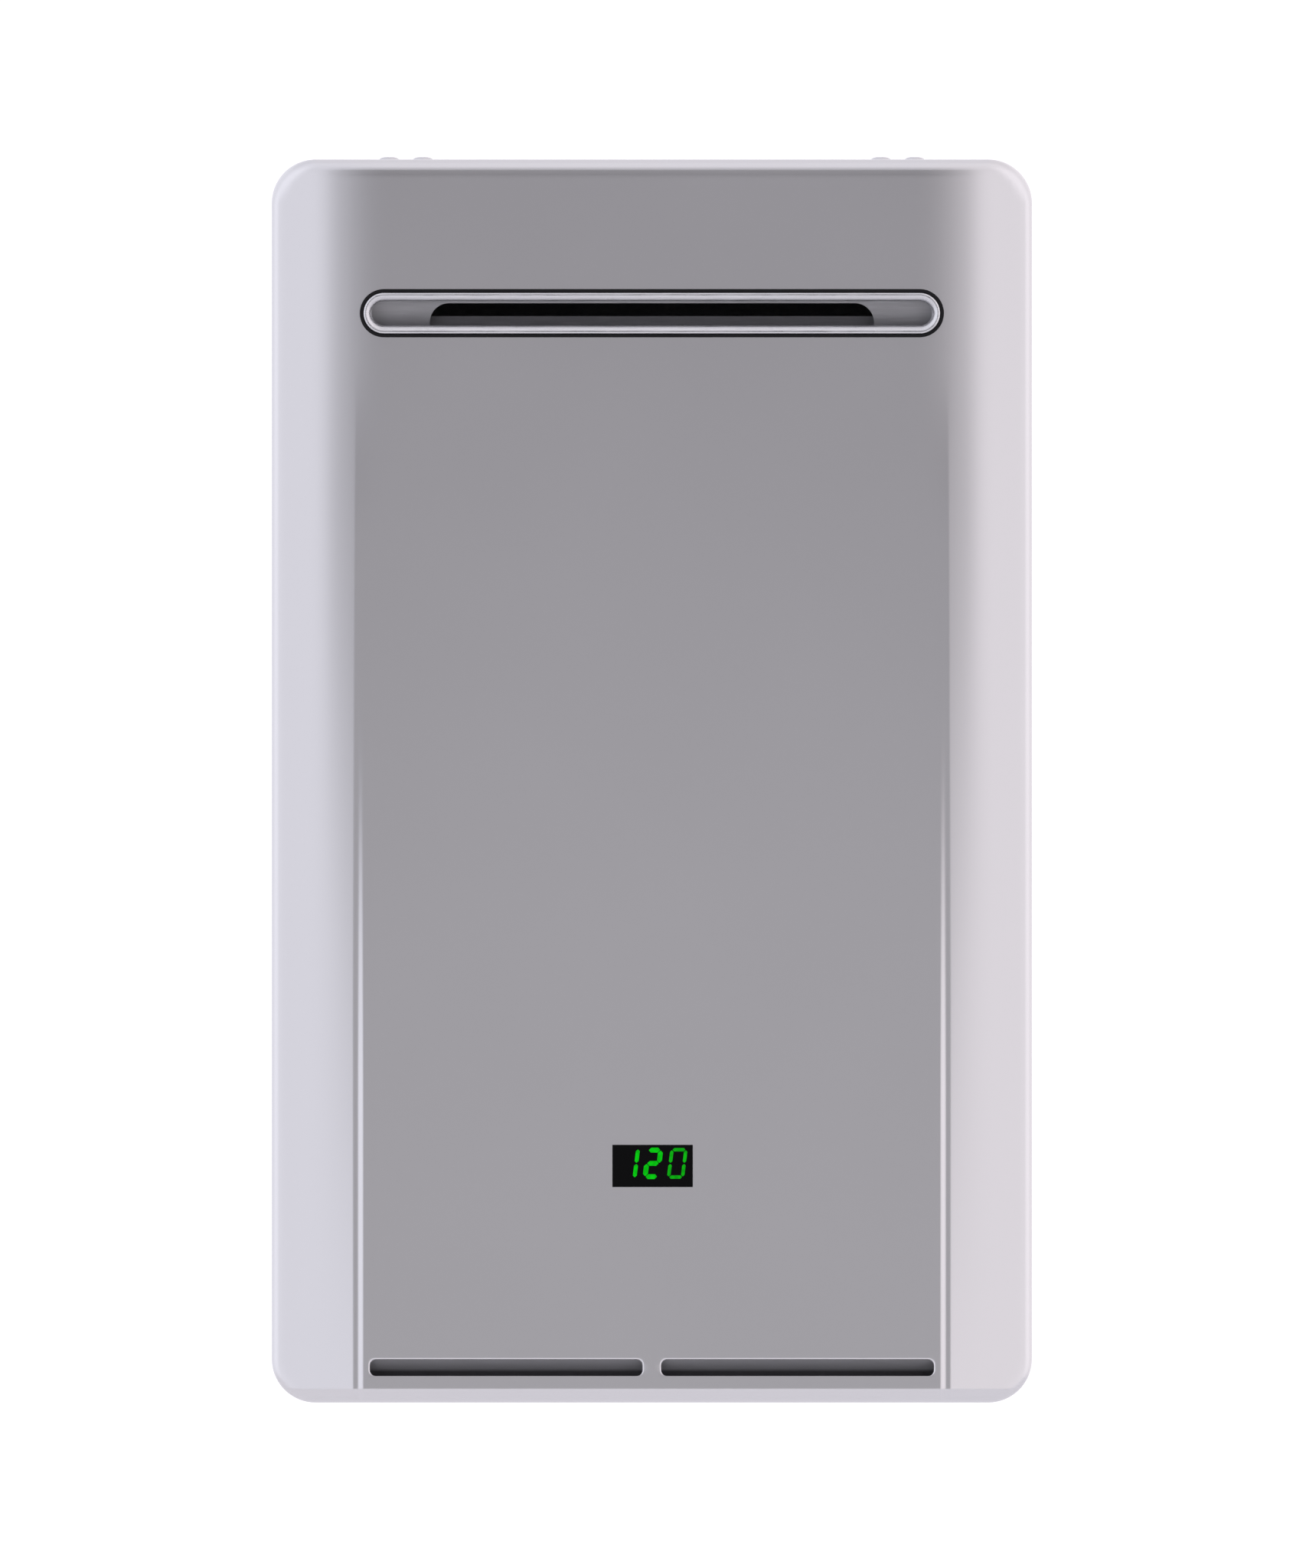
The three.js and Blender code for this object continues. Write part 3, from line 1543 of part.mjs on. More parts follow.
function waterPipes() {
  const feed = [
    [coldX, coldDepth, servoTop + seat],
    [coldX, coldDepth, coilStartZ],
    [coldX, coilStartDepth + seat, coilStartZ],
  ];
  piece("feed_pipe", pipe(feed, tubeRadius, tubeBore, bendRadius), copper);
  const shoulder = servoTop + hotShoulderRise;
  const hot = [
    [tubeEndX + seat, lastTube, finMidZ],
    [hotX, lastTube, finMidZ],
    [hotX, lastTube, shoulder],
    [hotX, hotDepth, shoulder - (lastTube - hotDepth) * hotFallShare],
    [hotX, hotDepth, hotBlockTop + seat],
  ];
  piece("hot_pipe", pipe(hot, tubeRadius, tubeBore, bendRadius), copper);
}

function hotBlock() {
  const half = hotBlockHalf;
  const body = block(hotX - half, hotX + half, hotDepth - half, hotBlockFront, blockLow, hotBlockTop);
  const way = rod("z", [hotX, hotDepth, 0], unionBore, blockLow - overrun, hotBlockTop + overrun);
  const socketTop = blockLow + drainHigh;
  const socket = rod("z", [hotX, drainDepth, 0], drainRadius + seat, blockLow - overrun, socketTop);
  const link = rod(
    "depth",
    [hotX, 0, socketTop - drainRadius / 2],
    drainRadius / 2,
    hotDepth,
    drainDepth,
    smallRound,
  );
  piece("hot_block", cut(body, way, socket, link), brass);
  const knobTop = baseZ - seat;
  const knob = [
    [0, knobTop - drainKnobHigh],
    [drainKnob, knobTop - drainKnobHigh],
    [drainKnob, knobTop],
    [drainRadius, knobTop],
    [drainRadius, socketTop - drainRadius],
    [0, socketTop - drainRadius],
  ];
  piece("drain_plug", turned("z", [hotX, drainDepth, 0], knob), blackPlastic);
}

// Ignition
const electrodeBack = stackFront - electrodeInside;
const electrodeFront = stackFront + electrodeOutside;

function ignition() {
  for (const [name, side] of [["flame_rod", -1], ["ignition_electrode", 1]]) {
    const flangeBack = stackFront + seat;
    const profile = [
      [0, electrodeBack],
      [electrodeTip, electrodeBack],
      [electrodeTip, electrodeBack + electrodeInside / 2],
      [electrodeRadius, electrodeBack + electrodeInside / 2],
      [electrodeRadius, flangeBack],
      [electrodeFlange, flangeBack],
      [electrodeFlange, flangeBack + electrodeTip * 2],
      [electrodeRadius, flangeBack + electrodeTip * 2],
      [electrodeRadius, electrodeFront],
      [0, electrodeFront],
    ];
    piece(name, turned("depth", [side * electrodeX, 0, electrodeZ], profile, smallRound), ceramic);
  }
  const left = -innerHalf + seat;
  const front = igniterBack + igniterDeep;
  const top = igniterZ + igniterHigh;
  piece("ignition_module", block(left, left + igniterWide, igniterBack, front, igniterZ, top), blackPlastic);
  const leadX = left + igniterWide / 2;
  const leadZ = (igniterZ + top) / 2;
  const sweep = manifoldBack + manifoldSize + leadRadius + 2 * seat;
  const run = [
    [leadX, front + seat, leadZ],
    [leadX, sweep, leadZ],
    [-electrodeX / 2, sweep, electrodeZ],
    [electrodeX, sweep, electrodeZ],
    [electrodeX, electrodeFront + seat, electrodeZ],
  ];
  piece("ignition_lead", pipe(run, leadRadius, 0, bendRadius - leadRadius / 2), blackRubber);
}

// Controls: a bracket on the base plate, a tray, the board and the display that shows through the cover
const trayBack = controlDepth + controlSheet + seat;
const trayFront = trayBack + trayDeep;
const boardBack = trayBack + trayWall + boardStand + seat;
const boardFront = boardBack + boardThick;

function controls() {
  const foot = baseTop + seat;
  const front = controlDepth + controlSheet;
  const bracket = join(
    block(-controlHalf, controlHalf, controlDepth, front, foot, controlHigh),
    block(-controlHalf, controlHalf, controlDepth - controlFoot, front, foot, foot + controlSheet),
  );
  piece("control_bracket", bracket, galvanised);

  const half = controlHalf - trayInset;
  const low = controlLow;
  const high = controlHigh - trayInset;
  const w = trayWall;
  const boardHalf = half - w - boardRoom;
  const boardLow = low + w + boardRoom;
  const boardHigh = high - w - boardRoom;
  const posts = [];
  for (const x of [-boardHalf + 2 * w, boardHalf - 2 * w]) {
    for (const z of [boardLow + 2 * w, boardHigh - 2 * w]) {
      posts.push(block(x - w, x + w, trayBack + w / 2, boardBack - seat, z - w, z + w));
    }
  }
  const tray = cut(
    block(-half, half, trayBack, trayFront, low, high),
    block(-half + w, half - w, trayBack + w, trayFront + overrun, low + w, high - w),
  );
  piece("control_tray", join(tray, ...posts), blackPlastic);

  const well = buttonSize / 2 + seat;
  const rim = well + socketWall;
  const socket = cut(
    block(
      buttonX - rim,
      buttonX + rim,
      boardFront - seat,
      boardFront + socketHigh,
      buttonZ - rim,
      buttonZ + rim,
    ),
    block(
      buttonX - well,
      buttonX + well,
      boardFront,
      boardFront + 2 * socketHigh,
      buttonZ - well,
      buttonZ + well,
    ),
  );
  const bed = boardFront - seat;
  const chip = (x0, x1, z0, z1, high) => block(x0, x1, bed, boardFront + high, z0, z1);
  const relay = chip(
    boardHalf - 3 * chipHigh,
    boardHalf - chipHigh,
    boardHigh - 4 * chipHigh,
    boardHigh - chipHigh,
    2 * chipHigh,
  );
  const sink = chip(
    -boardHalf + chipHigh,
    -boardHalf + 5 * chipHigh,
    boardLow + chipHigh / 2,
    boardLow + 2 * chipHigh,
    chipHigh,
  );
  const can = rod(
    "depth",
    [boardHalf - 2 * chipHigh, 0, boardLow + 2 * chipHigh],
    chipHigh,
    bed,
    boardFront + 2 * chipHigh,
  );
  const board = block(-boardHalf, boardHalf, boardBack, boardFront, boardLow, boardHigh);
  piece("control_board", join(board, socket, relay, sink, can), boardGreen);

  const buttonBack = boardFront + seat + buttonTravel;
  const size = buttonSize / 2;
  const cap = block(
    buttonX - size,
    buttonX + size,
    buttonBack,
    buttonBack + buttonHigh,
    buttonZ - size,
    buttonZ + size,
  );
  piece("service_button", cap, greyPlastic);

  const lensBack = panelDepth - coverSheet - seat - lensThick;
  const faceFront = lensBack - moduleGap;
  const faceBack = faceFront - moduleDeep;
  const halfWide = displayWidth / 2;
  const halfHigh = displayHeight / 2;
  const face = block(
    displayX - halfWide,
    displayX + halfWide,
    faceBack,
    faceFront,
    displayZ - halfHigh,
    displayZ + halfHigh,
  );
  const legs = [];
  for (const x of [displayX - halfWide + postSize, displayX + halfWide - postSize]) {
    for (const z of [displayZ - halfHigh + postSize, displayZ + halfHigh - postSize]) {
      const leg = postSize / 2;
      legs.push(block(x - leg, x + leg, boardFront + seat, faceBack + seat, z - leg, z + leg));
    }
  }
  piece("display_module", join(face, ...legs), blackPlastic);
}

function cableGland() {
  const at = [glandX, glandDepth, 0];
  const under = baseZ - seat;
  const over = baseTop + seat;
  const nut = glandHex;
  const profile = [
    [glandBore, under - 2 * nut + glandBore],
    [glandBore + 2 * seat, under - 2 * nut + glandBore],
    [glandRadius, under - nut],
    [nut, under - nut],
    [nut, under],
    [glandRadius, under],
    [glandRadius, over],
    [nut, over],
    [nut, over + glandNutHigh],
    [glandBore, over + glandNutHigh],
    [glandBore, under - 2 * nut + glandBore],
  ];
  piece("cable_gland", turned("z", at, profile), blackPlastic);
}

frontCover();
flueGasket();
displayLens();
coverScrews();
airBaffle();
caseWrap();
topScrews();
backPlate();
wallBracket("upper_bracket", upperBracketZ, true);
wallBracket("lower_bracket", lowerBracketZ, false);
basePlate();
flueTerminal();
exhaustHood();
hoodHangers();
finnedTubes();
combustionChamber();
chamberCoil();
burnerBox();
burnerRow();
gasManifold();
gasTrain();
union("gas_union", gasX, gasDepth, brass);
blower();
union("cold_union", coldX, coldDepth, brass);
inletBlock();
flowSensor();
servoValve();
waterPipes();
union("hot_union", hotX, hotDepth, brass);
hotBlock();
ignition();
controls();
cableGland();

export default heater;
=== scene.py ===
"""Looks of a wall-hung outdoor tankless water heater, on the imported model's frame.

Pieces are drawn in millimetres, with x to the right, z up from the case's bottom edge and the front at
-y, and are brought into the frame when they are finished. The wall is the plane y = 0.
"""
import json
import math

import bmesh
import bpy
from mathutils import Matrix, Vector


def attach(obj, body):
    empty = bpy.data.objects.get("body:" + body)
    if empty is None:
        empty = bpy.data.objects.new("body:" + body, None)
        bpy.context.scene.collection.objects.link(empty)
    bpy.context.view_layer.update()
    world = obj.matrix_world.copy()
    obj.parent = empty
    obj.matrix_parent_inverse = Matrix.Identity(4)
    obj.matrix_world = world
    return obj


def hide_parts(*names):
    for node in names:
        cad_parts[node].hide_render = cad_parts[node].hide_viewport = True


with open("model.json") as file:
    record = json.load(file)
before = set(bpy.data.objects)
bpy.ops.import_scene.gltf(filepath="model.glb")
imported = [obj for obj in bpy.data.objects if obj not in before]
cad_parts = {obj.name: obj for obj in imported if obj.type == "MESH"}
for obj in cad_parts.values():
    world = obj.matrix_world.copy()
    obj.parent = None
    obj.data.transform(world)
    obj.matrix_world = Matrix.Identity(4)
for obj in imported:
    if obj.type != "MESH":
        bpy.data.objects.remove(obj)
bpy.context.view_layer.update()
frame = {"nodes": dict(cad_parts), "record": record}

MM = 0.001
ORIGIN_Z = 528
TO_FRAME = Matrix.Scale(MM, 4) @ Matrix.Translation((0, 0, -ORIGIN_Z))
FROM_FRAME = TO_FRAME.inverted()

# Sizes of the front cover
WIDTH, HEIGHT, PANEL_DEPTH = 356, 582, 235
CORNER, EDGE, SHEET, SEAT = 20.5, 3.5, 1, 0.3
COVER_BACK = 190
MARGIN_FLAT, MARGIN_FALL, CREASE = 20, 10.5, 38
COVER_SCREWS, COVER_SCREW_DEPTH = {"left": -140, "right": 140}, 196.5
COVER_SCREW_HOLE = [(0, -3), (4.3, -3), (4.3, 0), (3.3, 1.3), (0, 1.3)]

# The margin's fold: the height where it turns soft, its bends' distances in, and their shares of the fall
SOFT_FROM, SOFT_OVER = 421, 57
OUTER_END, INNER_START, INNER_END = 29, 28, 56
CRISP_LEAST, CRISP_GAIN, CRISP_OVER, CRISP_POWER = 0.4, 0.5, 373, 1.3
INNER_MOST, INNER_SHARE = 0.2, 0.55
ROUND_OUTER, ROUND_INNER = 0.38, 0.62
CREASE_OFF, CREASE_FROM, CREASE_OVER, CREASE_HALF = 0.25, 190, 250, 0.5

# The step beside the margin, the brow under the top edge and the band along the foot
STEP_OUTER, STEP_WIDE, STEP_HIGH = 40, 3.2, 0.87
STEP_FROM, STEP_OVER = 335, 191
BROW_BENDS, BROW_FROM, BROW_OVER = ((2, 5.5, 0.36), (6.8, 8.2, 0.12)), 7, 18
FOOT_HIGH, FOOT_SLOPE, FOOT_SOFT = 6, 5 / 6.3, 0.7

# Lines of the cover's grid: in from its sides, up from its foot and down from its top
MARGIN_LINES = [6, 9, 12, 15, 18, 20.5, 22.5, 25, 27.5, 30, 32, 34, 35.5, 36.5]
CREASE_START, CREASE_PITCH, CREASE_LINES = 37.1, 0.34, 19
PANEL_LINES = [44.9, 45.2, 46.5, 49, 52, 55, 90, 134, 174.3]
FOOT_LINES = [5.2, 5.6, 6, 6.4, 6.8, 7.2, 7.8, 11.6, 11.9, 21.1, 21.4]
TOP_LINES = [2.1, 3, 3.9, 5, 6.2, 7.4, 8.9, 10]
UPRIGHT_STEPS = 44

# Sizes of the slots and the window
FLUE_Z, SLOT_LONG, SLOT_HIGH = 510, 273.5, 22.6
TERMINAL_LONG, TERMINAL_HIGH, TERMINAL_BACK = 270.1, 19.2, 204
AIR_LONG, AIR_HIGH, AIR_Z, AIR_WEB, AIR_CORNER = 127.5, 7.7, 16.3, 8.9, 2.8
AIR_LIP, ROLL_TURNS, MOUTH_CORNER_STEPS = 0.8, (0, 22.5, 45, 67.5, 90), 5
WINDOW_X, WINDOW_Z, WINDOW_WIDE, WINDOW_HIGH = 0.35, 110.8, 37.1, 19.2
PANE_BACK, PANE_CORNER, PANE_LIP = 232.7, 0.3, (-21.9, 21.9, 231.7, 233.7, 98.05, 123.95)
END_STEPS = 14

# Depths between which the cover's openings are cut
SLOT_CUT_FROM, WINDOW_CUT_FROM, CUT_TO = 200, 225, 245
MOUTH_CUT_FROM, MOUTH_CUT_TO = 215, 240

# The floor, and the camera, which sees the photo's frame
FLOOR_HALF, FLOOR_BELOW = 4, 1200
PHOTO_HIGH, PIXELS_PER_METRE = 2048, 2790
CAMERA_X, CAMERA_Y, CAMERA_Z = 0.00054, -3, 289.6


# Shaders


class Signal:
    """A number or a colour inside a material, which Python's operators work on."""

    def __init__(self, tree, socket):
        self.tree, self.socket = tree, socket

    def maths(self, operation, first, second):
        return add_node(self.tree, "ShaderNodeMath", {"operation": operation}, {0: first, 1: second})

    def __add__(self, other):
        return self.maths("ADD", self, other)

    def __radd__(self, other):
        return self.maths("ADD", other, self)

    def __sub__(self, other):
        return self.maths("SUBTRACT", self, other)

    def __rsub__(self, other):
        return self.maths("SUBTRACT", other, self)

    def __mul__(self, other):
        return self.maths("MULTIPLY", self, other)

    def __rmul__(self, other):
        return self.maths("MULTIPLY", other, self)


def add_node(tree, kind, settings=(), values=(), output=0):
    """Adds a node, sets its settings, then its sockets from numbers or signals."""
    made = tree.nodes.new(kind)
    for key, value in dict(settings).items():
        setattr(made, key, value)
    for key, value in dict(values).items():
        if isinstance(value, Signal):
            tree.links.new(value.socket, made.inputs[key])
        else:
            made.inputs[key].default_value = value
    return Signal(tree, made.outputs[output])


def smooth_range(tree, value, low, high, start, end):
    """Turns a value that runs from start to end into one from low to high, with soft ends."""
    values = {"Value": value, "From Min": start, "From Max": end, "To Min": low, "To Max": high}
    return add_node(tree, "ShaderNodeMapRange", {"interpolation_type": "SMOOTHSTEP"}, values)


class Finish:
    """A material whose pattern lies on object coordinates."""

    def __init__(self, name, **constants):
        self.material = bpy.data.materials.new(name)
        self.material.use_nodes = True
        self.tree = self.material.node_tree
        self.shader = self.tree.nodes["Principled BSDF"]
        for key, value in constants.items():
            self.shader.inputs[key.replace("_", " ")].default_value = value
        self.place = self.add("TexCoord", output="Object")

    def add(self, kind, settings=(), values=(), output=0):
        return add_node(self.tree, "ShaderNode" + kind, settings, values, output)

    def drive(self, **signals):
        for key, signal in signals.items():
            self.tree.links.new(signal.socket, self.shader.inputs[key.replace("_", " ")])

    def stretched(self, x, y, z):
        return self.add("Mapping", (), {"Vector": self.place, "Scale": (x, y, z)})

    def noise(self, scale, detail, place=None):
        values = {"Vector": place or self.place, "Scale": scale, "Detail": detail}
        return self.add("TexNoise", (), values)

    def cells(self, scale, output="Color", feature="F1"):
        values = {"Vector": self.place, "Scale": scale}
        return self.add("TexVoronoi", {"feature": feature}, values, output)

    def range(self, signal, low, high, start=0.0, end=1.0):
        return smooth_range(self.tree, signal, low, high, start, end)

    def mix(self, amount, first, second):
        values = {0: amount, 6: (*first, 1) if isinstance(first, tuple) else first}
        values[7] = (*second, 1) if isinstance(second, tuple) else second
        return self.add("Mix", {"data_type": "RGBA"}, values, 2)

    def grey(self, colour):
        return self.add("SeparateColor", (), {"Color": colour})

    def shaded(self, colour, dark, low, high):
        """Painted shade: the colour above a height, turning into a dark one below it."""
        height = self.add("SeparateXYZ", (), {"Vector": self.place}, 2)
        return self.mix(self.range(height, 0, 1, low, high), dark, colour)

    def bump(self, height, distance, strength):
        values = {"Height": height, "Distance": distance, "Strength": strength}
        self.drive(Normal=self.add("Bump", (), values))


def powder_paint(name, light, dark, metallic, rough, shade=None):
    finish = Finish(name, Metallic=metallic, Coat_Weight=0.15, Coat_Roughness=0.25)
    colour = finish.mix(finish.noise(4, 2), dark, light)
    finish.drive(Base_Color=finish.shaded(colour, *shade) if shade else colour)
    finish.drive(Roughness=finish.noise(12, 1) * 0.02 + (rough - 0.004))
    finish.bump(finish.noise(420, 1), 0.00001, 0.04)
    return finish.material


def galvanised_sheet():
    finish = Finish("galvanised", Metallic=0.85)
    spangle = finish.grey(finish.cells(230))
    bloom = finish.noise(14, 4)
    shade = spangle * 0.45 + bloom * 0.55
    finish.drive(Base_Color=finish.mix(shade, (0.50, 0.515, 0.53), (0.61, 0.625, 0.64)))
    finish.drive(Roughness=finish.range(spangle, 0.36, 0.46))
    finish.bump(finish.noise(900, 2), 0.00002, 0.2)
    return finish.material


def brushed_stainless(name, light, dark, rough, shade=None):
    finish = Finish(name, Metallic=0.9)
    brush = finish.noise(90, 3, finish.stretched(1, 40, 40))
    colour = finish.mix(finish.range(brush, 0, 1, 0.3, 0.7), dark, light)
    finish.drive(Base_Color=finish.shaded(colour, *shade) if shade else colour)
    finish.drive(Roughness=finish.range(brush, rough - 0.06, rough + 0.08, 0.3, 0.7))
    finish.bump(brush, 0.00002, 0.15)
    return finish.material


def drawn_copper():
    finish = Finish("copper", Metallic=0.95)
    stain = finish.noise(26, 5)
    heat = finish.range(stain, 0, 1, 0.38, 0.68)
    tint = finish.mix(heat, (0.78, 0.40, 0.24), (0.40, 0.17, 0.10))
    finish.drive(Base_Color=tint)
    finish.drive(Roughness=finish.range(stain, 0.22, 0.48, 0.3, 0.7))
    finish.bump(finish.noise(700, 3), 0.00003, 0.25)
    return finish.material


def cast_metal(name, light, dark, rough, grain):
    finish = Finish(name, Metallic=0.9)
    cloud = finish.noise(40, 4)
    finish.drive(Base_Color=finish.mix(finish.range(cloud, 0, 1, 0.3, 0.7), dark, light))
    finish.drive(Roughness=finish.range(cloud, rough - 0.06, rough + 0.08, 0.3, 0.7))
    finish.bump(finish.noise(grain, 3), 0.00006, 0.35)
    return finish.material


def moulded(name, light, dark, rough, grain, **constants):
    finish = Finish(name, **constants)
    cloud = finish.noise(35, 3)
    finish.drive(Base_Color=finish.mix(finish.range(cloud, 0, 1, 0.3, 0.7), dark, light))
    finish.drive(Roughness=finish.range(cloud, rough - 0.05, rough + 0.05, 0.3, 0.7))
    finish.bump(finish.noise(grain, 2), 0.00003, 0.3)
    return finish.material


def lacquered_board():
    finish = Finish("board", Coat_Weight=0.3)
    tracks = finish.cells(260, "Distance", "DISTANCE_TO_EDGE")
    line = finish.range(tracks, 1, 0, 0.04, 0.09)
    finish.drive(Base_Color=finish.mix(line, (0.015, 0.10, 0.045), (0.05, 0.22, 0.09)))
    finish.drive(Roughness=finish.range(line, 0.4, 0.3))
    finish.bump(line, 0.00003, 0.4)
    return finish.material


def smoked_window():
    finish = Finish("smoked_window", Specular_IOR_Level=0.12)
    film = finish.noise(30, 3)
    depth = finish.range(film, 0, 1)
    finish.drive(Base_Color=finish.mix(depth, (0.0012, 0.0012, 0.0014), (0.002, 0.002, 0.0023)))
    finish.drive(Roughness=finish.range(film, 0.08, 0.16, 0.3, 0.7))
    return finish.material


def lit_segment(name, bright, edge):
    finish = Finish(name, Roughness=0.6, Specular_IOR_Level=0, Emission_Strength=1)
    glow = finish.range(finish.noise(420, 1), 0, 1, 0.3, 0.7)
    finish.drive(Base_Color=finish.mix(glow, (0.0, 0.004, 0.0), (0.0, 0.006, 0.0)))
    finish.drive(Emission_Color=finish.mix(glow, edge, bright))
    return finish.material


FINISHES = {
    "cover_paint": powder_paint("cover_paint", (0.668, 0.662, 0.68), (0.662, 0.656, 0.674), 0.82, 0.28),
    "case_paint": powder_paint("case_paint", (0.64, 0.635, 0.655), (0.62, 0.615, 0.635), 0.7, 0.33),
    "galvanised_sheet": galvanised_sheet(),
    "copper": drawn_copper(),
    "brass": cast_metal("brass", (0.62, 0.47, 0.20), (0.45, 0.32, 0.12), 0.34, 800),
    "cast_aluminium": cast_metal("cast_aluminium", (0.60, 0.61, 0.62), (0.46, 0.47, 0.48), 0.46, 600),
    "stainless": brushed_stainless("stainless", (0.68, 0.68, 0.70), (0.57, 0.57, 0.59), 0.3),
    "zinc_steel": cast_metal("zinc_steel", (0.66, 0.66, 0.67), (0.52, 0.52, 0.54), 0.3, 1500),
    "rubber": moulded(
        "rubber", (0.008, 0.008, 0.009), (0.004, 0.004, 0.005), 0.7, 1800, Specular_IOR_Level=0.2
    ),
    "black_plastic": moulded("black_plastic", (0.022, 0.022, 0.024), (0.012, 0.012, 0.013), 0.45, 2400),
    "grey_plastic": moulded("grey_plastic", (0.20, 0.21, 0.22), (0.15, 0.16, 0.17), 0.5, 2000),
    "circuit_board": lacquered_board(),
    "ceramic": moulded("ceramic", (0.85, 0.82, 0.76), (0.74, 0.70, 0.62), 0.25, 900, Coat_Weight=0.4),
    "display_lens": smoked_window(),
}
# Painted shade by height, darker towards the bottom: the dark colour, and the heights where it ends and
# where the light one starts
PAINTED_SHADE_ON_FLOOR = ((0.27, 0.27, 0.285), -0.0235, -0.0145)
PAINTED_SHADE_ON_BAFFLE = ((0.1, 0.1, 0.105), -0.5137, -0.512)
# The flue floor: stainless made darker, painted shade for the hollow of the terminal's mouth, and darker
# still towards its lower part, painted shade under the rim's lower lip
FLUE_FLOOR = brushed_stainless("flue_floor", (0.56, 0.56, 0.58), (0.51, 0.51, 0.53), 0.4, PAINTED_SHADE_ON_FLOOR)
# The throat, the weir and the exhaust hood: stainless made much darker, painted shade for the dark inside
# behind the outlet
FLUE_METAL = brushed_stainless("flue_metal", (0.20, 0.20, 0.21), (0.17, 0.17, 0.18), 0.45)
# The air baffle: a darker grey, partly its own colour and partly painted shade for the dark behind the air
# slots; along its lower part it turns darker still, a painted shadow
BAFFLE_PAINT_AND_SHADE = powder_paint(
    "baffle_paint_and_shade", (0.35, 0.35, 0.365), (0.32, 0.32, 0.335), 0.4, 0.45, PAINTED_SHADE_ON_BAFFLE
)
LIT = lit_segment("lit_segment", (0.004, 0.60, 0.008), (0.003, 0.44, 0.006))
LIT_DIM = lit_segment("lit_segment_dim", (0.006, 0.46, 0.008), (0.004, 0.32, 0.006))
NODE_SLOT = {entry["node"]: entry["material_slot"] for entry in frame["record"]["subparts"]}


# Making pieces


def hold(form, name="workpiece"):
    """Puts a bmesh in an object."""
    mesh = bpy.data.meshes.new(name)
    form.to_mesh(mesh)
    form.free()
    held = bpy.data.objects.new(name, mesh)
    bpy.context.scene.collection.objects.link(held)
    return held


def worked(held, *tools):
    """The bmesh of an object as its modifiers leave it; the object and its tools are used up."""
    bpy.context.view_layer.update()
    form = bmesh.new()
    form.from_object(held, bpy.context.evaluated_depsgraph_get())
    for used in (held, *tools):
        mesh = used.data
        bpy.data.objects.remove(used)
        bpy.data.meshes.remove(mesh)
    return form


def carved(form, *cutters, operation="DIFFERENCE"):
    held = hold(form)
    tools = [hold(cutter) for cutter in cutters]
    for tool in tools:
        step = held.modifiers.new("carve", "BOOLEAN")
        step.operation, step.object, step.solver = operation, tool, "EXACT"
    return worked(held, *tools)


def finished(name, form, body, nodes, slot, material=None, sharp=32, ease=0):
    """Brings a form into the frame as a piece that rides on a body and stands for CAD nodes."""
    form.transform(TO_FRAME)
    piece = hold(form, name)
    piece.data.materials.append(material or FINISHES[slot])
    piece.data.shade_smooth()
    piece.data.set_sharp_from_angle(angle=math.radians(sharp))
    if ease:
        bevel = piece.modifiers.new("eased_edges", "BEVEL")
        bevel.width, bevel.segments = ease * MM, 2
        bevel.limit_method, bevel.angle_limit = "ANGLE", math.radians(sharp)
        bevel.harden_normals = True
    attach(piece, body)
    if nodes:
        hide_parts(*nodes)


def block(x0, x1, d0, d1, z0, z1):
    form = bmesh.new()
    bmesh.ops.create_cube(form, size=1)
    bmesh.ops.scale(form, vec=(x1 - x0, d1 - d0, z1 - z0), verts=form.verts)
    bmesh.ops.translate(form, vec=((x0 + x1) / 2, -(d0 + d1) / 2, (z0 + z1) / 2), verts=form.verts)
    return form


def along(edge, axis):
    line = edge.verts[1].co - edge.verts[0].co
    return abs(line[axis]) > 0.99 * line.length


def bevelled(form, edges, width, steps):
    bmesh.ops.bevel(
        form, geom=edges, offset=width, segments=steps, profile=0.5, affect="EDGES", material=-1
    )


def slab(x, z, long, high, d0, d1, radius, steps):
    """A block whose corners are round as seen from the front; too large a radius gives round ends."""
    form = block(x - long / 2, x + long / 2, d0, d1, z - high / 2, z + high / 2)
    upright = [edge for edge in form.edges if along(edge, 1)]
    bevelled(form, upright, min(radius, high / 2 - 0.01), steps)
    return form


def turned(profile, x, d, axis="Z", sides=32):
    """A profile of (radius, distance) pairs spun about a line through x and depth d, or x and height d."""
    form = bmesh.new()
    points = [form.verts.new((r, 0, t)) for r, t in profile]
    edges = [form.edges.new(pair) for pair in zip(points, points[1:])]
    whole = points + edges
    round_z = {"cent": (0, 0, 0), "axis": (0, 0, 1), "angle": 2 * math.pi}
    bmesh.ops.spin(form, geom=whole, steps=sides, use_merge=True, **round_z)
    bmesh.ops.remove_doubles(form, verts=form.verts, dist=0.0001)
    bmesh.ops.recalc_face_normals(form, faces=form.faces)
    if axis == "Y":
        forward = Matrix.Rotation(math.pi / 2, 3, "X")
        bmesh.ops.rotate(form, cent=(0, 0, 0), matrix=forward, verts=form.verts)
        bmesh.ops.translate(form, vec=(x, 0, d), verts=form.verts)
    else:
        bmesh.ops.translate(form, vec=(x, -d, 0), verts=form.verts)
    return form


def copied(node):
    """A merged copy of a CAD node's mesh, in millimetres."""
    form = bmesh.new()
    form.from_mesh(frame["nodes"][node].data)
    form.transform(FROM_FRAME)
    bmesh.ops.remove_doubles(form, verts=form.verts, dist=0.002)
    bmesh.ops.dissolve_limit(form, angle_limit=math.radians(0.5), verts=form.verts, edges=form.edges)
    return form


def together(*forms):
    """Several bodies as one form."""
    whole = bmesh.new()
    for form in forms:
        mesh = bpy.data.meshes.new("part")
        form.to_mesh(mesh)
        form.free()
        whole.from_mesh(mesh)
        bpy.data.meshes.remove(mesh)
    return whole


# Front cover


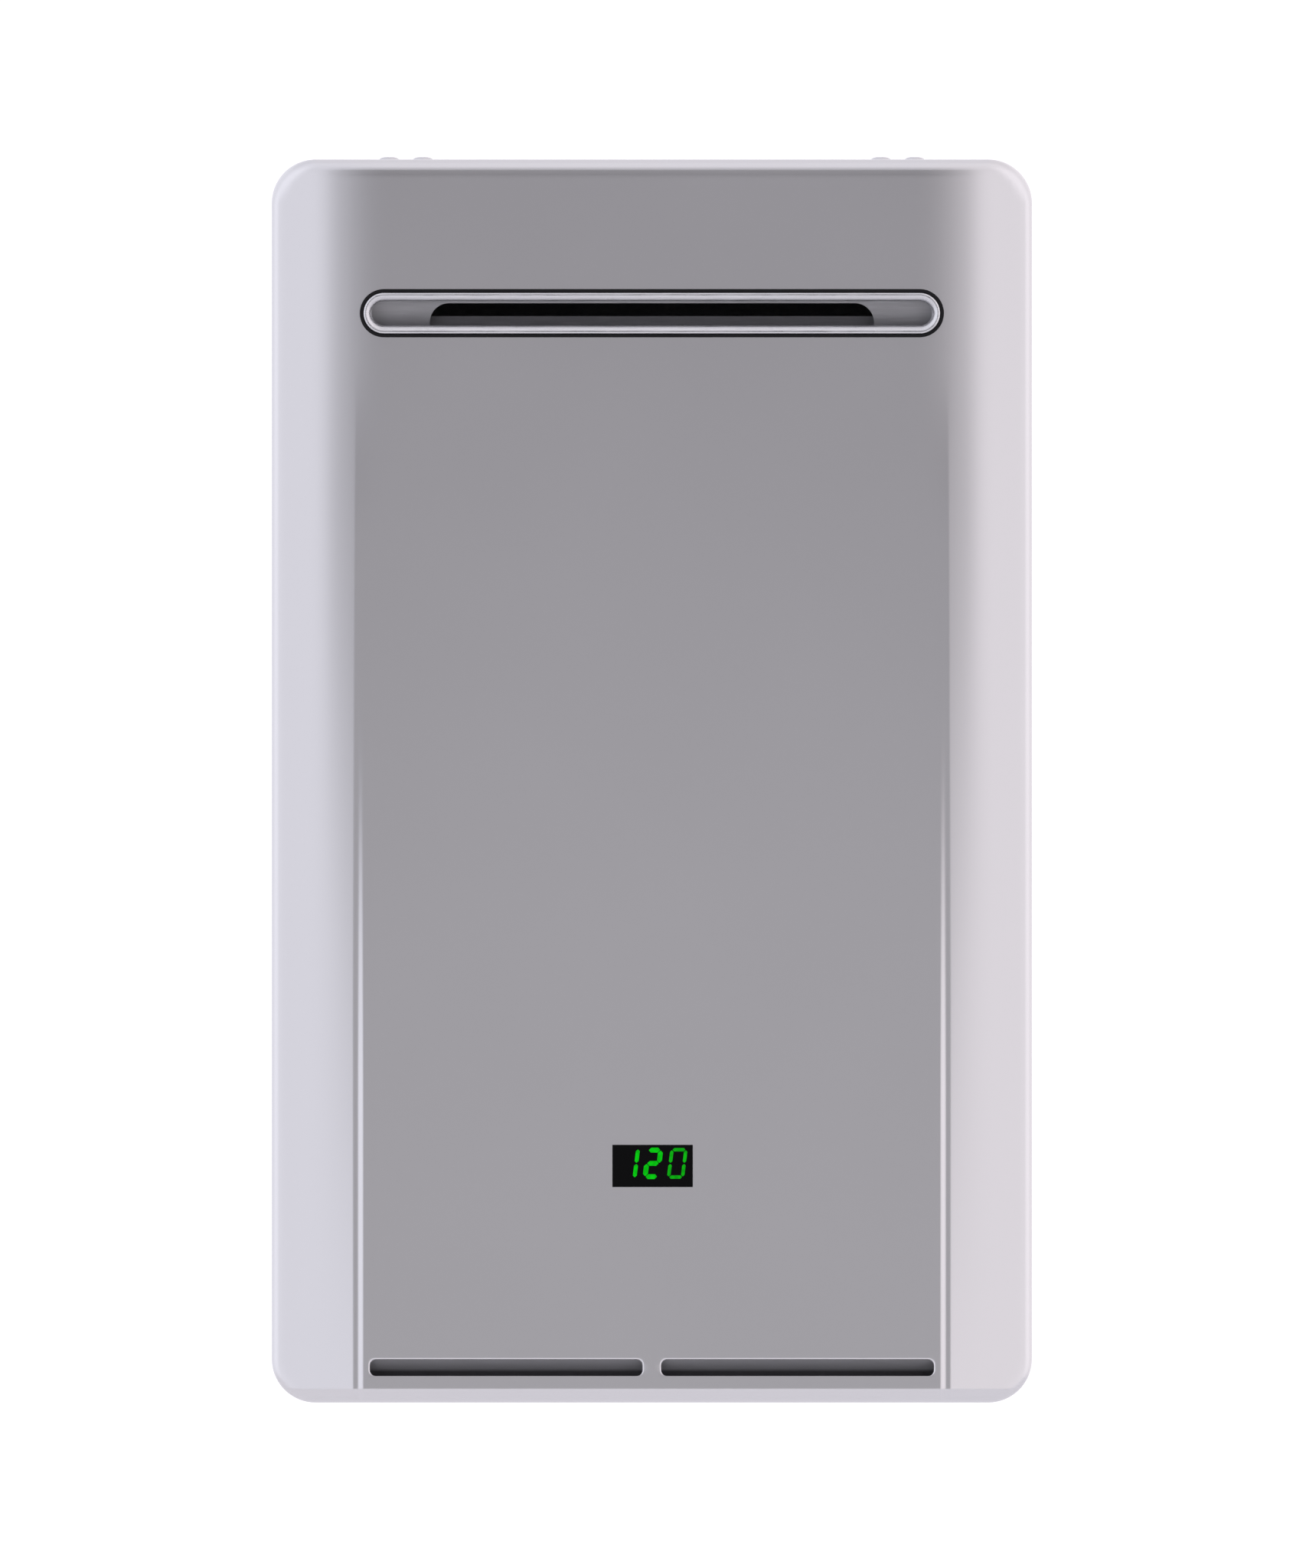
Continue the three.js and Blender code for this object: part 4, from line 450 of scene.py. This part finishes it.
def clamp(value):
    return min(max(value, 0), 1)


def smooth(value):
    return clamp(value) ** 2 * (3 - 2 * clamp(value))


def ramp(t, half):
    """Nothing below zero and t above it, with a round turn that reaches half to either side."""
    if t <= -half:
        return 0
    return t if t >= half else (t + half) ** 2 / (4 * half)


def bend(inset, outer, inner):
    """The fall of a fold whose slope grows evenly from one distance in to the other."""
    return ramp((outer + inner) / 2 - inset, (inner - outer) / 2)


def margin_drop(inset, z):
    """The side margin, folded along a crease lower down and one round fall near the top."""
    soft = clamp((z - SOFT_FROM) / SOFT_OVER)
    crisp = CRISP_LEAST + CRISP_GAIN * (max(SOFT_FROM - z, 0) / CRISP_OVER) ** CRISP_POWER
    inner = min(INNER_MOST, (1 - crisp) * INNER_SHARE)
    crease = CREASE + CREASE_OFF + clamp((z - CREASE_FROM) / CREASE_OVER)
    outer_bend = bend(inset, MARGIN_FLAT, OUTER_END)
    folded = outer_bend * (1 - crisp - inner)
    folded += bend(inset, INNER_START, crease + CREASE_HALF) * inner
    folded += crisp * bend(inset, crease - CREASE_HALF, crease + CREASE_HALF)
    rounded = ROUND_OUTER * outer_bend + ROUND_INNER * bend(inset, INNER_START, INNER_END)
    return MARGIN_FALL / CREASE * (folded * (1 - soft) + rounded * soft)


def step_drop(inset, z):
    """The narrow step beside the margin, which grows on its way down."""
    grown = clamp((STEP_FROM - z) / STEP_OVER)
    return STEP_HIGH * (grown * smooth((STEP_OUTER + STEP_WIDE - inset) / STEP_WIDE))


def brow_drop(inset, z):
    """Two shallow bends under the top edge, which fade out towards the sides."""
    fall = sum(bend(HEIGHT - z, start, end) * slope for start, end, slope in BROW_BENDS)
    return fall * smooth((inset - BROW_FROM) / BROW_OVER)


def surface_drop(inset, z):
    """How far the pressed sheet lies behind the flat panel, at a distance in from the cover's side."""
    foot = FOOT_SLOPE * ramp(FOOT_HIGH - z, FOOT_SOFT)
    return margin_drop(inset, z) + step_drop(inset, z) + brow_drop(inset, z) + foot


def edge_drop(x, z):
    """How far the rounded edge lies behind the sheet; in the two top corners it is up to twice as wide."""
    across = abs(x) - (WIDTH / 2 - CORNER)
    up = max(z - (HEIGHT - CORNER), CORNER - z)
    outside = math.hypot(max(across, 0), max(up, 0)) + min(max(across, up), 0)
    turned_in = clamp(across / CORNER) * clamp((z - HEIGHT + CORNER) / CORNER)
    edge = EDGE * (1 + min(2 * turned_in, 1))
    left = edge - min(max(CORNER - outside, 0), edge)
    return edge - math.sqrt(max(edge**2 - left**2, 0))


def half_width(z):
    past = max(z - (HEIGHT - CORNER), CORNER - z, 0)
    return WIDTH / 2 - CORNER + math.sqrt(max(CORNER**2 - past**2, 0))


def sheet_insets():
    """The grid's lines in from either side, from the edge to near the middle."""
    insets = [EDGE * (1 - math.cos(math.radians(a))) for a in range(0, 91, 10)]
    insets += MARGIN_LINES
    insets += [CREASE_START + CREASE_PITCH * i for i in range(CREASE_LINES)]
    return insets + PANEL_LINES


def sheet_rows():
    """The grid's lines from the foot to the top."""
    arc = [CORNER * (1 - math.sin(math.radians(a))) for a in range(90, -1, -5)]
    ends = arc + [HEIGHT - t for t in arc] + FOOT_LINES
    rows = sorted({round(t, 4) for t in ends})
    rows += [CORNER + (HEIGHT - 2 * CORNER) * i / UPRIGHT_STEPS for i in range(1, UPRIGHT_STEPS)]
    rows += [HEIGHT - t for t in TOP_LINES]
    return sorted(rows)


def cover_sheet():
    """The cover's outer face and the wall behind it, shaped on a grid whose lines follow the creases."""
    fold = MARGIN_FLAT + EDGE
    insets = sheet_insets()
    columns, rows = insets + [0] + insets[::-1], sheet_rows()
    across, up = len(columns) - 1, len(rows) - 1
    form = bmesh.new()
    bmesh.ops.create_grid(form, x_segments=across, y_segments=up, size=1)
    for vert in form.verts:
        column = round((vert.co.x + 1) / 2 * across)
        inset = columns[column]
        z = rows[round((vert.co.y + 1) / 2 * up)]
        half = half_width(z)
        x = half - inset * (half - (WIDTH / 2 - fold)) / fold if inset < fold else WIDTH / 2 - inset
        x = 0 if column == len(insets) else math.copysign(x, vert.co.x)
        from_side = WIDTH / 2 - abs(x)
        vert.co = (x, -(PANEL_DEPTH - surface_drop(from_side, z) - edge_drop(x, z)), z)
    rim = [edge for edge in form.edges if edge.is_boundary]
    wall = bmesh.ops.extrude_edge_only(form, edges=rim)["geom"]
    for vert in wall:
        if isinstance(vert, bmesh.types.BMVert):
            vert.co.y = -COVER_BACK
    bmesh.ops.recalc_face_normals(form, faces=form.faces)
    centre = Vector((0, -PANEL_DEPTH, HEIGHT / 2))
    middle = min(form.faces, key=lambda face: (face.calc_center_median() - centre).length)
    if middle.normal.y > 0:
        bmesh.ops.reverse_faces(form, faces=form.faces)
    return form


def mouth(x, z, long, high, radius, lip):
    """A cutter for a slot whose front edges roll outward, all but the lower one."""
    form = slab(x, z, long, high, MOUTH_CUT_FROM, PANEL_DEPTH - lip, radius, MOUTH_CORNER_STEPS)
    face = min(form.faces, key=lambda face: face.calc_center_median().y)
    turns = [math.radians(turn) for turn in ROLL_TURNS]
    steps = []
    for before, turn in zip(turns, turns[1:]):
        grow = lip * (math.cos(before) - math.cos(turn))
        steps.append((grow, PANEL_DEPTH - lip + lip * math.sin(turn)))
    steps.append((0, MOUTH_CUT_TO))
    for grow, ahead in steps:
        face = bmesh.ops.extrude_discrete_faces(form, faces=[face])["faces"][0]
        for vert in face.verts:
            vert.co.x += math.copysign(grow, vert.co.x - x)
            vert.co.z += grow if vert.co.z > z else 0
            vert.co.y = -ahead
    return form


def air_slots():
    side = (AIR_WEB + AIR_LONG) / 2
    return [mouth(way * side, AIR_Z, AIR_LONG, AIR_HIGH, AIR_CORNER, AIR_LIP) for way in (-1, 1)]


def cover_screw_holes():
    """Cutters for the two screw holes in the cover's underside."""
    return [turned(COVER_SCREW_HOLE, x, COVER_SCREW_DEPTH) for x in COVER_SCREWS.values()]


def window_hole():
    wide, high = WINDOW_WIDE / 2 + SEAT, WINDOW_HIGH / 2 + SEAT
    low, top = WINDOW_Z - high, WINDOW_Z + high
    return block(WINDOW_X - wide, WINDOW_X + wide, WINDOW_CUT_FROM, CUT_TO, low, top)


def front_cover():
    sheet = hold(cover_sheet())
    wall = sheet.modifiers.new("sheet", "SOLIDIFY")
    wall.thickness, wall.offset, wall.use_even_offset = SHEET, -1, True
    shell = worked(sheet)
    slot = slab(0, FLUE_Z, SLOT_LONG, SLOT_HIGH, SLOT_CUT_FROM, CUT_TO, SLOT_HIGH / 2, END_STEPS)
    shell = carved(shell, slot, window_hole(), *air_slots(), *cover_screw_holes())
    finished("cover_shell", shell, "cover", ["front_cover"], "cover_paint", ease=0.35)


def display():
    """The window's pane, and the lip behind the sheet that holds it."""
    pane = slab(WINDOW_X, WINDOW_Z, WINDOW_WIDE, WINDOW_HIGH, PANE_BACK, PANEL_DEPTH, PANE_CORNER, 3)
    lip = block(*PANE_LIP)
    finished("window_pane", together(pane, lip), "cover", ["display_lens"], "display_lens", ease=0.12)


# Each bar of a digit: across, up, and whether it lies flat
SEGMENTS = {
    "top": (0, 1, True),
    "middle": (0, 0, True),
    "bottom": (0, -1, True),
    "upper_right": (1, 0.5, False),
    "lower_right": (1, -0.5, False),
    "upper_left": (-1, 0.5, False),
    "lower_left": (-1, -0.5, False),
}
# Each digit: its middle, its lit bars, the bars' width and its height
DIGITS = {
    "one": (-10.4, ("upper_right", "lower_right"), 1.85, 15.4),
    "two": (0.5, ("top", "upper_right", "middle", "lower_left", "bottom"), 2.3, 14.7),
    "zero": (11.9, ("top", "upper_right", "lower_right", "bottom", "lower_left", "upper_left"), 1.6, 14.4),
}
DIGIT_Z, DIGIT_WIDE, DIGIT_SLANT = 112, 8.1, math.tan(math.radians(7))
BAR_GAP, BAR_THICK, BAR_POINT = 0.7, 0.12, 0.42


def lit_bar(long, wide, lying):
    """A bar with pointed ends, standing or lying."""
    bar = bmesh.new()
    bmesh.ops.create_cube(bar, size=1)
    size = (long, BAR_THICK, wide) if lying else (wide, BAR_THICK, long)
    bmesh.ops.scale(bar, vec=size, verts=bar.verts)
    corners = [edge for edge in bar.edges if along(edge, 1)]
    bevelled(bar, corners, wide * BAR_POINT, 1)
    return bar


def figure(name, middle, lit, wide, high, material):
    half, tall = (DIGIT_WIDE - wide) / 2, high - wide
    bars = []
    for key in lit:
        across, up, lying = SEGMENTS[key]
        long = (DIGIT_WIDE - wide if lying else tall / 2) - BAR_GAP
        bar = lit_bar(long, wide, lying)
        bmesh.ops.translate(bar, vec=(across * half, -PANEL_DEPTH, up * tall / 2), verts=bar.verts)
        bars.append(bar)
    digit = together(*bars)
    for vert in digit.verts:
        vert.co.x += vert.co.z * DIGIT_SLANT + middle
        vert.co.z += DIGIT_Z
    finished(f"figure_{name}", digit, "cover", [], "display_lens", material)


def figures():
    for name, shape in DIGITS.items():
        figure(name, *shape, LIT_DIM if name == "zero" else LIT)


# Exhaust terminal and its seal

# The rim: distances in from its outer edge, and depths
RIM = [(0, 205), (0, 235.2), (0.2, 235.65), (0.6, 235.95), (1.1, 236), (1.7, 235.8), (2.4, 235.3)]
RIM += [(3.1, 234.5), (3.6, 233.6), (3.9, 232.7), (3.9, 232), (1.2, 232), (1.2, 205), (0, 205)]
RIM_SIDES, RIM_CUT = 64, 0.001
FLAT_FROM, FLAT_INSET, FLAT_DEPTH, FLAT_FOOT, FLAT_SHARE = 1.65, 1.7, 235.85, 232.5, 0.45
FLOOR_BACK, FLOOR_FRONT, FLOOR_SHORT = 222.8, 224, 1.6
OUTLET_LONG, OUTLET_HIGH, OUTLET_LOW, OUTLET_CUT = 208, 18, 4.3, (219, 227)
WEIR_BACK, WEIR_FRONT, WEIR_LOW, WEIR_TOP = 213.6, 214.8, 9, 1.4
FLANGE_FRONT, FLANGE_WIDE, FLANGE_HIGH = 205.2, 141, 15.5
THROAT_WIDE, THROAT_HIGH, THROAT_CUT = 109.6, 8.4, (200, 208)
SEAL_NECK, SEAL_FLANGE, SEAL_CUT, SEAL_WIDER = (231, 235), (230.8, 232.6), (225, 240), 8


def terminal_cup():
    """The rim turned as a ring, made flatter above and below, cut in two and drawn out to its length."""
    ring = turned([(TERMINAL_HIGH / 2 - inset, d) for inset, d in RIM], 0, 0, "Y", RIM_SIDES)
    for vert in ring.verts:
        reach = math.hypot(vert.co.x, vert.co.z)
        inset = TERMINAL_HIGH / 2 - reach
        if inset > FLAT_FROM and vert.co.y < -FLAT_FOOT:
            flatter = FLAT_DEPTH - (inset - FLAT_INSET) / 2
            vert.co.y -= FLAT_SHARE * (flatter + vert.co.y) * abs(vert.co.z) / reach
    for way in (-1, 1):
        whole = ring.verts[:] + ring.edges[:] + ring.faces[:]
        bmesh.ops.bisect_plane(ring, geom=whole, plane_co=(RIM_CUT * way, 0, 0), plane_no=(1, 0, 0))
    for vert in ring.verts:
        if abs(vert.co.x) > RIM_CUT / 2:
            vert.co.x += math.copysign((TERMINAL_LONG - TERMINAL_HIGH) / 2, vert.co.x)
        vert.co.z += FLUE_Z
    finished("terminal_cup", ring, "case", ["flue_terminal"], "stainless")


def terminal_floor():
    """The mouth's floor, with the outlet cut through it."""
    long, high = TERMINAL_LONG - FLOOR_SHORT, TERMINAL_HIGH - FLOOR_SHORT
    web = slab(0, FLUE_Z, long, high, FLOOR_BACK, FLOOR_FRONT, TERMINAL_HIGH, END_STEPS)
    outlet = slab(0, FLUE_Z - OUTLET_LOW, OUTLET_LONG, OUTLET_HIGH, *OUTLET_CUT, OUTLET_HIGH / 2, 10)
    finished("terminal_floor", carved(web, outlet), "case", [], "stainless", FLUE_FLOOR)


def terminal_throat():
    """What lies behind the outlet: a weir across its lower part, and the flange round the throat."""
    half = OUTLET_LONG / 2
    weir = block(-half, half, WEIR_BACK, WEIR_FRONT, FLUE_Z - WEIR_LOW, FLUE_Z - WEIR_TOP)
    low, top = FLUE_Z - FLANGE_HIGH, FLUE_Z + FLANGE_HIGH
    plate = block(-FLANGE_WIDE, FLANGE_WIDE, TERMINAL_BACK, FLANGE_FRONT, low, top)
    hole = block(-THROAT_WIDE, THROAT_WIDE, *THROAT_CUT, FLUE_Z - THROAT_HIGH, FLUE_Z + THROAT_HIGH)
    whole = together(weir, carved(plate, hole))
    finished("terminal_throat", whole, "case", [], "stainless", FLUE_METAL)


def gasket():
    """The seal's neck in the cover's slot, its flange behind the sheet, and the hole for the terminal."""
    neck = slab(0, FLUE_Z, SLOT_LONG - SEAT, SLOT_HIGH - SEAT, *SEAL_NECK, SLOT_HIGH / 2, END_STEPS)
    long, high = SLOT_LONG + SEAL_WIDER, SLOT_HIGH + SEAL_WIDER
    flange = slab(0, FLUE_Z, long, high, *SEAL_FLANGE, SLOT_HIGH, END_STEPS)
    long, high = TERMINAL_LONG + SEAT, TERMINAL_HIGH + SEAT
    hole = slab(0, FLUE_Z, long, high, *SEAL_CUT, TERMINAL_HIGH, END_STEPS)
    seal = carved(carved(neck, flange, operation="UNION"), hole)
    finished("slot_seal", seal, "cover", ["flue_gasket"], "rubber", ease=0.25)


# Case and screws

CASE_INSET, CASE_BACK, CASE_FRONT, CASE_PAST = 1.4, 9, 202, 4
BAY_CUT = (-157, 157, 30, 186, -5, 8)
NOTCH_HALF, NOTCH_CUT = 3.4, (193.1, 210, -5, 8)
TOP_SCREWS, TOP_SCREW_DEPTH = (-123, -107.2, 107.2, 123), 83
TOP_HOLE = [(0, 570), (2.8, 570), (2.8, 590), (0, 590)]
SCREW_SIDES, HOLE_SIDES = 28, 16
CROSS_LONG, CROSS_THIN = 2, 0.4

# Screws as turned: radii, and heights from the seat of a top screw or from the cover's foot
TOP_SCREW = [(0, -8.3), (2.3, -8.3), (2.5, -7.8), (2.5, 0), (4.6, 0), (4.8, 0.2), (4.8, 0.7)]
TOP_SCREW += [(4.4, 1.4), (3.4, 1.95), (1.8, 2.25), (0, 2.3)]
TOP_CROSS = (1.1, 3)
COVER_SCREW = [(0, 0.02), (3.5, 0.02), (3.7, 0.15), (3.6, 0.4), (2, 2.2), (2, 8.8), (1.6, 9), (0, 9)]
COVER_CROSS = (-1, 1.3)
NUT_HALF, NUT_SPAN = 3.5, (193, 200, 2.7, 5.7)


def case_shell():
    """The case's wrap, with the pipe bay, the cover screws' notches and the top screws' holes cut in it."""
    wide, high, corner = WIDTH - 2 * CASE_INSET, HEIGHT - 2 * CASE_INSET, CORNER - CASE_INSET
    outer = slab(0, HEIGHT / 2, wide, high, CASE_BACK, CASE_FRONT, corner, END_STEPS)
    back, front = CASE_BACK - CASE_PAST, CASE_FRONT + CASE_PAST
    inner = slab(0, HEIGHT / 2, wide - 2 * SHEET, high - 2 * SHEET, back, front, corner - SHEET, END_STEPS)
    notches = [block(x - NOTCH_HALF, x + NOTCH_HALF, *NOTCH_CUT) for x in COVER_SCREWS.values()]
    holes = [turned(TOP_HOLE, x, TOP_SCREW_DEPTH, sides=HOLE_SIDES) for x in TOP_SCREWS]
    shell = carved(outer, inner, block(*BAY_CUT), *notches, *holes)
    finished("case_shell", shell, "case", ["case_wrap"], "case_paint", ease=0.2)


def screw(profile, x, d, low, top):
    """A turned screw with a cross cut in its head between two heights."""
    form = turned(profile, x, d, sides=SCREW_SIDES)
    arms = ((CROSS_LONG, CROSS_THIN), (CROSS_THIN, CROSS_LONG))
    cross = [block(x - wide, x + wide, d - deep, d + deep, low, top) for wide, deep in arms]
    return carved(form, *cross)


def top_screws():
    seat = HEIGHT - CASE_INSET + SEAT
    profile = [(radius, seat + up) for radius, up in TOP_SCREW]
    low, top = (seat + up for up in TOP_CROSS)
    for i, x in enumerate(TOP_SCREWS):
        form = screw(profile, x, TOP_SCREW_DEPTH, low, top)
        finished(f"top_screw_{i + 1}_turned", form, "case", [f"top_screw_{i + 1}"], "case_paint")


def cover_screws():
    for side, x in COVER_SCREWS.items():
        form = screw(COVER_SCREW, x, COVER_SCREW_DEPTH, *COVER_CROSS)
        nut = block(x - NUT_HALF, x + NUT_HALF, *NUT_SPAN)
        name = f"cover_screw_{side}"
        finished(f"{name}_turned", together(form, nut), "cover", [name], "zinc_steel")


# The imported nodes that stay, with broken edges or as they are

NODE_FINISH = {"air_baffle": BAFFLE_PAINT_AND_SHADE, "exhaust_hood": FLUE_METAL}
BODY_OF = {node: body for body, nodes in frame["record"]["behaviour"]["bodies"].items() for node in nodes}
PRESSED = ("upper_bracket", "lower_bracket", "back_plate", "base_plate", "blower_housing", "blower_front")
CAST = ("gas_manifold", "gas_valve", "inlet_block", "servo_valve", "hot_block", "flow_sensor")
MOULDED = ("main_solenoid", "modulating_solenoid", "blower_motor", "servo_motor", "ignition_module")
ROUND = ("gas_pipe", "feed_pipe", "hot_pipe", "chamber_coil", "ignition_lead", "gas_union", "cold_union")
ROUND += ("hot_union", "flame_rod", "ignition_electrode", "cable_gland", "blower_wheel", "blower_shaft")
ROUND += ("main_plunger", "modulating_plunger", "filter_plug", "drain_plug", "flow_rotor", "servo_plug")


def eased_copies():
    """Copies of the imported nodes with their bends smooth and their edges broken."""
    for nodes, ease in ((PRESSED, 0.2), (CAST, 0.5), (MOULDED, 0.35), (ROUND, 0)):
        for node in nodes:
            slot = NODE_SLOT[node]
            finished(f"{node}_eased", copied(node), BODY_OF[node], [node], slot, ease=ease, sharp=34)


def paint_nodes():
    for name, node in frame["nodes"].items():
        node.data.materials.clear()
        node.data.materials.append(NODE_FINISH.get(name) or FINISHES[NODE_SLOT[name]])


# Floor, light and camera


def floor():
    form = bmesh.new()
    bmesh.ops.create_grid(form, x_segments=1, y_segments=1, size=FLOOR_HALF)
    bmesh.ops.translate(form, vec=(0, 0, -(ORIGIN_Z + FLOOR_BELOW) * MM), verts=form.verts)
    ground = hold(form, "floor")
    finish = Finish("floor", Roughness=0.7)
    cloud = finish.range(finish.noise(2, 2), 0, 1, 0.3, 0.7)
    finish.drive(Base_Color=finish.mix(cloud, (0.86, 0.86, 0.87), (0.89, 0.89, 0.90)))
    ground.data.materials.append(finish.material)


def studio():
    """A soft grey ahead of the front, bright to both sides, a little cooler on the left."""
    world = bpy.data.worlds.new("studio")
    world.use_nodes = True
    bpy.context.scene.world = world
    tree = world.node_tree
    backdrop = tree.nodes["Background"]
    way = add_node(tree, "ShaderNodeTexCoord", output="Generated")
    parts = tree.nodes.new("ShaderNodeSeparateXYZ")
    tree.links.new(way.socket, parts.inputs[0])
    x, y, z = (Signal(tree, socket) for socket in parts.outputs)

    side = add_node(tree, "ShaderNodeMath", {"operation": "ABSOLUTE"}, {0: x})
    # A dark patch straight ahead of the front, darker still in its upper part
    ahead = smooth_range(tree, y, 1, 0, -0.75, -0.35)
    ahead *= smooth_range(tree, side, 1, 0, 0.13, 0.48)
    ahead *= smooth_range(tree, z, 1, 0, 0.34, 0.48)
    upper = smooth_range(tree, z, 0, 1, 0.02, 0.14)
    # Weaker light overhead, and stronger light from both sides, but for what comes from behind
    top = smooth_range(tree, z - side * 0.3, 0, 0.17, 0.3, 0.6)
    glow = smooth_range(tree, side + z * 0.4, 0, 0.2, 0.55, 0.9)
    glow *= smooth_range(tree, y, 1, 0, -0.2, 0.4)
    level = 1.15 + glow - top - ahead * (0.9 + upper * 0.25)
    rightward = smooth_range(tree, x, 0, 1, -0.4, 0.4)
    tints = {0: rightward, 6: (0.93, 0.93, 1.0, 1), 7: (1.0, 0.955, 0.985, 1)}
    tint = add_node(tree, "ShaderNodeMix", {"data_type": "RGBA"}, tints, 2)
    tree.links.new(tint.socket, backdrop.inputs["Color"])
    tree.links.new(level.socket, backdrop.inputs["Strength"])


def lamp(name, place, aim, size, power):
    light = bpy.data.lights.new(name, "AREA")
    light.shape, light.size, light.energy = "DISK", size, power
    held = bpy.data.objects.new(name, light)
    held.location = place
    held.rotation_euler = (Vector(aim) - Vector(place)).to_track_quat("-Z", "Y").to_euler()
    bpy.context.scene.collection.objects.link(held)


def camera():
    lens = bpy.data.cameras.new("camera")
    lens.type, lens.ortho_scale = "ORTHO", PHOTO_HIGH / PIXELS_PER_METRE
    held = bpy.data.objects.new("camera", lens)
    held.location = (CAMERA_X, CAMERA_Y, (CAMERA_Z - ORIGIN_Z) * MM)
    held.rotation_euler = (math.pi / 2, 0, 0)
    bpy.context.scene.collection.objects.link(held)
    bpy.context.scene.camera = held


front_cover()
display()
figures()
terminal_cup()
terminal_floor()
terminal_throat()
gasket()
case_shell()
top_screws()
cover_screws()
eased_copies()
paint_nodes()
floor()
studio()
lamp("overhead", place=(0, -0.9, 1.8), aim=(0, -0.1, -0.2), size=2.2, power=1)
lamp("low", place=(0, -1.5, -0.61), aim=(0, -0.2, -0.37), size=1.0, power=0.36)
camera()
bpy.context.scene.view_settings.view_transform = "Standard"
